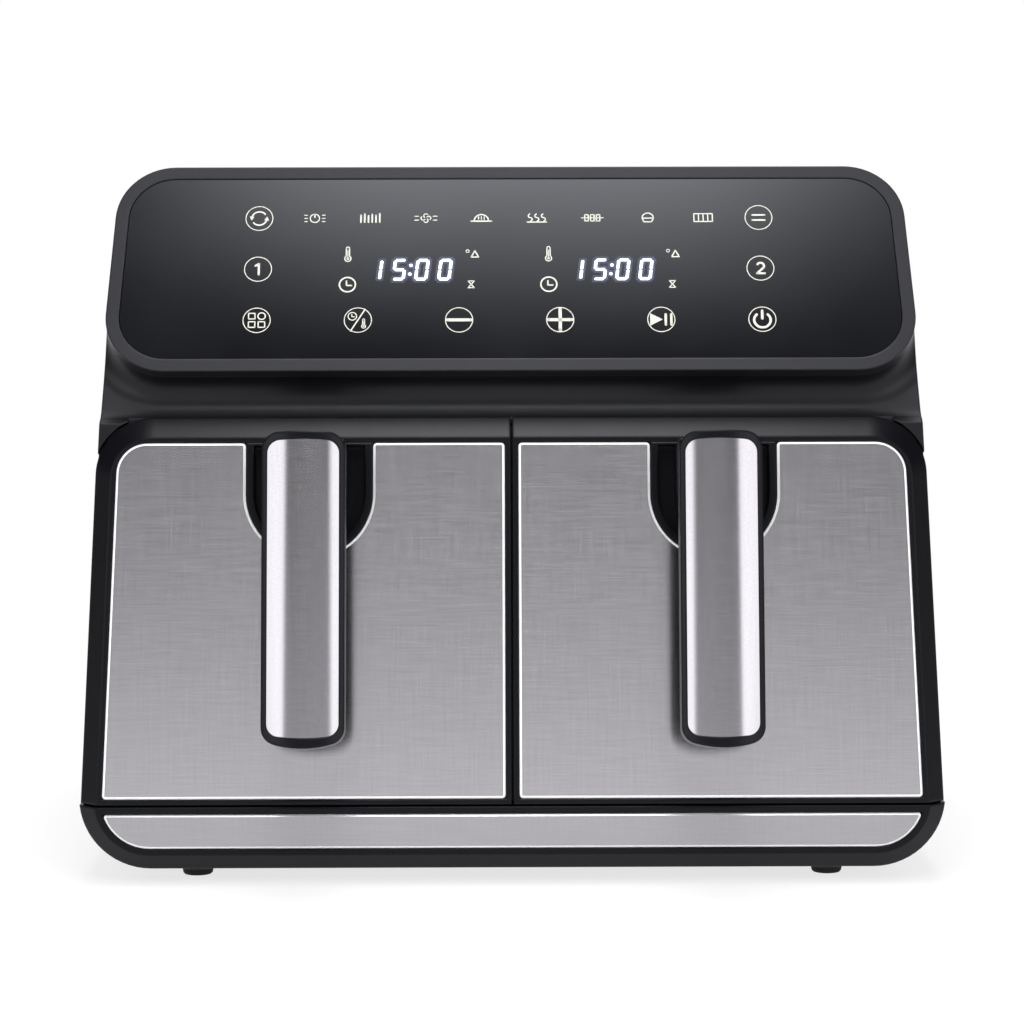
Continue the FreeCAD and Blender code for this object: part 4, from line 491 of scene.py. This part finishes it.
def draw_middle_keys():
    toggle = key(1, 2)
    toggle.line([(-3.2, -5.4), (3.2, 5.4)], 0.6)
    clock(toggle, -2.5, 1.9, 1.9, 0.45)
    thermometer(toggle, 2.6, -1.7, 4.6, 0.4)
    toggle.finish("print_toggle_key", INK_WITH_PAINTED_GLOW, INK_LIFT)

    minus = key(2, 2)
    minus.line([(-5.3, 0), (5.3, 0)], 1.5)
    minus.finish("print_minus_key", INK_WITH_PAINTED_GLOW, INK_LIFT)

    plus = key(3, 2)
    plus.line([(-5.3, 0), (5.3, 0)], 1.5)
    plus.line([(0, -5.3), (0, 5.3)], 1.5)
    plus.finish("print_plus_key", INK_WITH_PAINTED_GLOW, INK_LIFT)

    start = key(4, 2)
    start.shape([(-5.0, 3.1), (-5.0, -3.1), (0.6, 0)])
    start.line([(2.0, 2.6), (2.0, -2.6)], 1.1)
    start.line([(4.5, 2.6), (4.5, -2.6)], 1.1)
    start.finish("print_start_key", INK_WITH_PAINTED_GLOW, INK_LIFT)


def draw_right_keys():
    match = key(5, 0)
    for height in (1.3, -1.3):
        match.line([(-2.8, height), (2.8, height)], 0.8)
    match.finish("print_match_key", INK_WITH_PAINTED_GLOW, INK_LIFT)

    two = key(5, 1)
    two.ring(0.1, 1.15, 1.55, 1.0, -35, 165, 20)
    two.line([(1.4, 0.25), (-1.55, -2.6), (1.9, -2.6)], 1.0)
    two.finish("print_two_key", INK_WITH_PAINTED_GLOW, INK_LIFT)

    power = key(5, 2)
    power.ring(0, -0.4, 3.7, 1.1, 125, 415, 36)
    power.line([(0, 0.4), (0, 4.2)], 1.2)
    power.finish("print_power_key", INK_WITH_PAINTED_GLOW, INK_LIFT)


# Programme marks along the top of the panel: a small picture for each programme, by corners in
# millimetres from its own middle

def mark_dial(print_):
    print_.ring(0, 0, 2.1, 0.5)
    print_.line([(0, 0.4), (0, 2.0)], 0.6)
    for side in (-1, 1):
        for height in (-1.6, 0, 1.6):
            print_.line([(side * 3.4, height), (side * 4.6, height)], 0.5)


def mark_chips(print_):
    for index, high in enumerate((1.6, 2.2, 1.3, 2.0, 1.5, 2.3)):
        x = (index - 2.5) * 1.7
        print_.line([(x, -2.0), (x, high)], 0.75)


def mark_fan(print_):
    for turn in range(0, 360, 90):
        x, y = 1.2 * math.cos(math.radians(turn)), 1.2 * math.sin(math.radians(turn))
        print_.ring(x, y, 1.0, 0.5, turn - 60, turn + 150, 14)
    for side in (-1, 1):
        for height in (1.0, -1.0):
            print_.line([(side * 3.3, height), (side * 5.0, height)], 0.5)


def mark_roast(print_):
    print_.ring(0, -1.4, 3.2, 0.6, 0, 180, 24)
    print_.line([(-4.6, -1.6), (4.6, -1.6)], 0.7)
    for x in (-1.3, 0, 1.3):
        print_.line([(x, -0.6), (x, 0.7)], 0.5)


def mark_steam(print_):
    for x in (-3.0, 0.0, 3.0):
        print_.ring(x, 1.1, 0.9, 0.55, 90, 270, 12)
        print_.ring(x, -0.7, 0.9, 0.55, -90, 90, 12)
    print_.line([(-4.4, -2.1), (4.4, -2.1)], 0.6)


def mark_skewer(print_):
    print_.line([(-5.0, 0), (5.0, 0)], 0.45)
    for x in (-2.6, 0, 2.6):
        print_.box(x, 0, 0.8, 1.6, 0.55)


def mark_bun(print_):
    print_.ring(0, -0.2, 2.6, 0.55, 0, 180, 20)
    print_.line([(-2.6, -0.2), (-1.7, -2.1), (1.7, -2.1), (2.6, -0.2), (-2.6, -0.2)], 0.55)


def mark_grate(print_):
    print_.box(0, 0, 4.2, 2.0, 0.55)
    for x in (-2.1, 0, 2.1):
        print_.line([(x, -1.7), (x, 1.7)], 0.5)


def draw_programme_marks():
    marks = (mark_dial, mark_chips, mark_fan, mark_roast, mark_steam, mark_skewer, mark_bun, mark_grate)
    for index, draw in enumerate(marks):
        mark = Print(KEY_SHIFT + (index - (len(marks) - 1) / 2) * LABEL_PITCH, KEY_ROWS[0])
        draw(mark)
        mark.finish(f"print_{draw.__name__}", INK_WITH_PAINTED_GLOW, INK_LIFT)


# Displays: slanted seven-segment figures with small signs beside them

SEGMENTS = {"0": "abcdef", "1": "bc", "5": "acdfg"}
FIGURE_WIDTH = 6.0
FIGURE_HEIGHT = 10.9
FIGURE_SLANT = 0.12
SEGMENT_WIDTH = 1.35
SEGMENT_GAP = 0.1
SEGMENT_POINT = 0.6


def segment_lines():
    """The two ends of each segment of a figure, from the figure's middle."""
    wide = FIGURE_WIDTH / 2 - SEGMENT_WIDTH / 2
    high = FIGURE_HEIGHT / 2 - SEGMENT_WIDTH / 2
    gap = SEGMENT_GAP
    level = {"a": high, "g": 0.0, "d": -high}
    lines = {name: ((-wide + gap, y), (wide - gap, y)) for name, y in level.items()}
    for name, x, low in (("f", -wide, 0), ("b", wide, 0), ("e", -wide, -high), ("c", wide, -high)):
        lines[name] = ((x, low + gap), (x, low + high - gap))
    return lines


def segment(print_, start, end, spread):
    """One segment with pointed ends, slanted, and spread by so much all round."""
    first, last = Vector(start), Vector(end)
    along = (last - first).normalized()
    across = Vector((-along.y, along.x)) * (SEGMENT_WIDTH / 2 + spread)
    point = along * SEGMENT_WIDTH / 2 * SEGMENT_POINT
    first, last = first - along * spread, last + along * spread
    corners = [
        first, first + point + across, last - point + across,
        last, last - point - across, first + point - across,
    ]
    print_.shape([(corner.x + corner.y * FIGURE_SLANT, corner.y) for corner in corners])


FIGURE_PLACES = (("1", -17.9), ("5", -7.2), ("0", 3.0), ("0", 13.4))
FIGURE_LEVEL = -0.95
COLON_PLACE = -2.2
COLON_REACH = 2.2
COLON_RADIUS = 0.75
HALO_SPREAD = 1.1


def draw_figures(name, middle, shader, lift, spread):
    """The four figures and the colon between them."""
    figures = Print(middle, FIGURE_LEVEL)
    lines = segment_lines()
    for figure, x in FIGURE_PLACES:
        for letter in SEGMENTS[figure]:
            ends = [(x + end[0], end[1]) for end in lines[letter]]
            segment(figures, *ends, spread)
    for height in (COLON_REACH, -COLON_REACH):
        figures.disc(COLON_PLACE + height * FIGURE_SLANT, height, COLON_RADIUS + spread)
    figures.finish(name, shader, lift)


def draw_display(name, middle):
    """Lit figures with a faint halo, a thermometer and a clock before them, two unit signs behind."""
    draw_figures(f"figures_{name}", middle, DISPLAY, INK_LIFT, 0.0)
    draw_figures(f"halo_{name}", middle, HALO, INK_LIFT / 2, HALO_SPREAD)

    signs = Print(middle, 0)
    thermometer(signs, MARK_REACH, MARK_ROWS[0], THERMOMETER_HEIGHT, width=0.55)
    clock(signs, MARK_REACH, MARK_ROWS[1], CLOCK_RADIUS, width=0.7)
    signs.ring(UNIT_REACH - 1.6, MARK_ROWS[0] + 1.4, 0.7, 0.35)
    low, high = MARK_ROWS[0] - 1.6, MARK_ROWS[0] + 1.6
    near, far = UNIT_REACH, UNIT_REACH + 3.4
    signs.line([(near, low), ((near + far) / 2, high), (far, low), (near, low)], 0.6)
    low, high = MARK_ROWS[1] - 1.7, MARK_ROWS[1] + 1.7
    near, far = UNIT_REACH - 1.4, UNIT_REACH + 1.4
    signs.line([(near, high), (far, high), (near, low), (far, low), (near, high)], 0.5)
    signs.finish(f"signs_{name}", INK_WITH_PAINTED_GLOW, INK_LIFT)


draw_left_keys()
draw_middle_keys()
draw_right_keys()
draw_programme_marks()
draw_display("left", DISPLAY_SHIFT - KEY_PITCH)
draw_display("right", DISPLAY_SHIFT + KEY_PITCH)


# Studio: white floor and background, soft lamps and the camera

# The floor in metres, how white it is near the object and far off, and between which distances
FLOOR_HALF = 6.0
FLOOR_GREY = (0.85, 0.85, 0.85)
FLOOR_ROUGHNESS = 0.9
FLOOR_WHITENESS = (0.75, 1.0)
SHADOW_START = 0.21
SHADOW_END = 0.7


def seen_rays(tree):
    """Two marks: 1 for camera rays, and 1 for them and for rays off gloss or through glass."""
    light = tree.nodes.new("ShaderNodeLightPath")
    camera_ray = light.outputs["Is Camera Ray"]
    seen = camera_ray
    for kind in ("Is Glossy Ray", "Is Transmission Ray"):
        seen = math_node(tree, "MAXIMUM", seen, light.outputs[kind])
    return camera_ray, seen


def make_floor():
    """A white floor: as white as the background far off, with a faint shadow round the object."""
    corners = [(-1, -1), (1, -1), (1, 1), (-1, 1)]
    mesh = bpy.data.meshes.new("floor")
    mesh.from_pydata([(x * FLOOR_HALF, y * FLOOR_HALF, 0) for x, y in corners], [], [(0, 1, 2, 3)])
    floor = bpy.data.objects.new("floor", mesh)
    scene.collection.objects.link(floor)
    shader = Shader("floor_white", FLOOR_GREY, FLOOR_ROUGHNESS)
    distance = shader.add("ShaderNodeVectorMath", operation="LENGTH")
    shader.join(shader.place, distance.inputs[0])
    white = shader.spread(distance.outputs["Value"], *FLOOR_WHITENESS, SHADOW_START, SHADOW_END)
    share = math_node(shader.tree, "MULTIPLY", white, seen_rays(shader.tree)[1])
    glow = shader.add("ShaderNodeEmission")
    mix = shader.add("ShaderNodeMixShader")
    shader.join(share, mix.inputs["Fac"])
    shader.join(shader.surface.outputs["BSDF"], mix.inputs[1])
    shader.join(glow.outputs["Emission"], mix.inputs[2])
    shader.join(mix.outputs["Shader"], shader.tree.nodes["Material Output"].inputs["Surface"])
    mesh.materials.append(shader.material)


# How light the room is at heights up from the floor, and how far it dims between two directions
# towards its sides. Heights and directions are parts of a unit direction
ROOM_LEVELS = ((0.0, 1.0), (0.20, 1.0), (0.28, 0.03), (0.8, 0.03), (1.0, 0.3))
SIDE_LIMITS = (0.55, 0.85)
SIDE_LEVEL = 0.25
FILL_LIGHT = 0.8


def make_world():
    """White to the camera. In gloss, a room pale near the floor, dim above and dimmer at its sides."""
    world = bpy.data.worlds.new("studio")
    scene.world = world
    world.use_nodes = True
    tree = world.node_tree
    place = tree.nodes.new("ShaderNodeTexCoord")
    split = tree.nodes.new("ShaderNodeSeparateXYZ")
    tree.links.new(place.outputs["Generated"], split.inputs["Vector"])
    room = tree.nodes.new("ShaderNodeValToRGB")
    stops = room.color_ramp.elements
    while len(stops) < len(ROOM_LEVELS):
        stops.new(1.0)
    for stop, (height, level) in zip(stops, ROOM_LEVELS):
        stop.position = height
        stop.color = (level, level, level, 1.0)
    tree.links.new(split.outputs["Z"], room.inputs["Fac"])
    sideways = math_node(tree, "ABSOLUTE", split.outputs["X"])
    shade = map_range(tree, sideways, *SIDE_LIMITS, 1.0, SIDE_LEVEL)
    shaded = tree.nodes.new("ShaderNodeVectorMath")
    shaded.operation = "SCALE"
    tree.links.new(room.outputs["Color"], shaded.inputs["Vector"])
    tree.links.new(shade, shaded.inputs["Scale"])
    camera_ray, seen = seen_rays(tree)
    level = mixed_colours(tree, seen, first=(FILL_LIGHT, FILL_LIGHT, FILL_LIGHT, 1.0))
    tree.links.new(shaded.outputs["Vector"], level.inputs["B"])
    shown = mixed_colours(tree, camera_ray, second=WHITE)
    tree.links.new(level.outputs["Result"], shown.inputs["A"])
    tree.links.new(shown.outputs["Result"], tree.nodes["Background"].inputs["Color"])


def fade(tree, value, share):
    """1 over the middle of a lamp's face, falling to 0 over a share of it at both ends."""
    end = 0.5
    reach = math_node(tree, "ABSOLUTE", math_node(tree, "SUBTRACT", value, end))
    level = map_range(tree, reach, end, end - share, 0.0, 1.0)
    level.node.interpolation_type = "SMOOTHSTEP"
    return level


def softbox(name, place, target, width, height, radiance, soft_width, soft_height):
    """A lamp by its place, what it points at, its size, how bright its face is and its soft edges."""
    lamp = bpy.data.lights.new(name, "AREA")
    lamp.shape = "RECTANGLE"
    lamp.size, lamp.size_y = width, height
    lamp.energy = radiance * math.pi * width * height
    lamp.use_nodes = True
    tree = lamp.node_tree
    face = tree.nodes.new("ShaderNodeSeparateXYZ")
    tree.links.new(tree.nodes.new("ShaderNodeNewGeometry").outputs["Parametric"], face.inputs["Vector"])
    across = fade(tree, face.outputs["X"], soft_width)
    along = fade(tree, face.outputs["Y"], soft_height)
    tree.links.new(math_node(tree, "MULTIPLY", across, along), tree.nodes["Emission"].inputs["Strength"])
    piece = bpy.data.objects.new(name, lamp)
    scene.collection.objects.link(piece)
    piece.location = place
    piece.rotation_euler = (Vector(target) - Vector(place)).to_track_quat("-Z", "Y").to_euler()
    return piece


def keep_off(lamp, piece):
    """Shields one piece from a lamp."""
    shielded = bpy.data.collections.new(f"{lamp.name}_shielded")
    shielded.objects.link(piece)
    shielded.collection_objects[0].light_linking.link_state = "EXCLUDE"
    lamp.light_linking.receiver_collection = shielded


def make_lamps():
    """A long lamp overhead, one above the front that is kept off the glass, one beside each end."""
    softbox(
        "lamp_top", place=(0.02, 0.11, 1.45), target=(0.02, 0.11, 0.0),
        width=0.9, height=2.24, radiance=8.0, soft_width=0.40, soft_height=0.18,
    )
    above = softbox(
        "lamp_above", place=(0.0, -1.08, 1.2), target=(0.0, -0.09, 0.21),
        width=1.0, height=0.28, radiance=11.0, soft_width=0.3, soft_height=0.3,
    )
    keep_off(above, nodes["control_glass"])
    for side, name in ((-1, "left"), (1, "right")):
        softbox(
            f"lamp_front_{name}", place=(side * 1.13, -1.395, 0.75), target=(0, -0.15, 0.2),
            width=1.0, height=1.3, radiance=2.05, soft_width=0.15, soft_height=0.15,
        )


# The camera: millimetres for the sensor and lens, metres for its place, degrees for its turns
SENSOR_WIDTH = 36.0
LENS = 115.9
SIGHT_LIMIT = 50.0
CAMERA_PLACE = (-0.010, -1.5675, 0.290)
CAMERA_TILT = 5.0
CAMERA_TURN = -0.398
CAMERA_ROLL = -0.12


def make_camera():
    """Where the photograph was taken from: in front, near the level of the top, a little down."""
    camera = bpy.data.objects.new("camera", bpy.data.cameras.new("camera"))
    scene.collection.objects.link(camera)
    camera.data.sensor_width = SENSOR_WIDTH
    camera.data.lens = LENS
    camera.data.clip_end = SIGHT_LIMIT
    camera.location = CAMERA_PLACE
    tilt, turn, roll = (math.radians(angle) for angle in (CAMERA_TILT, CAMERA_TURN, CAMERA_ROLL))
    facing = Matrix.Rotation(math.radians(90) - tilt, 3, "X") @ Matrix.Rotation(roll, 3, "Z")
    camera.rotation_mode = "QUATERNION"
    camera.rotation_quaternion = (Matrix.Rotation(turn, 3, "Z") @ facing).to_quaternion()
    scene.camera = camera


make_floor()
make_world()
make_lamps()
make_camera()

scene.view_settings.view_transform = "Standard"
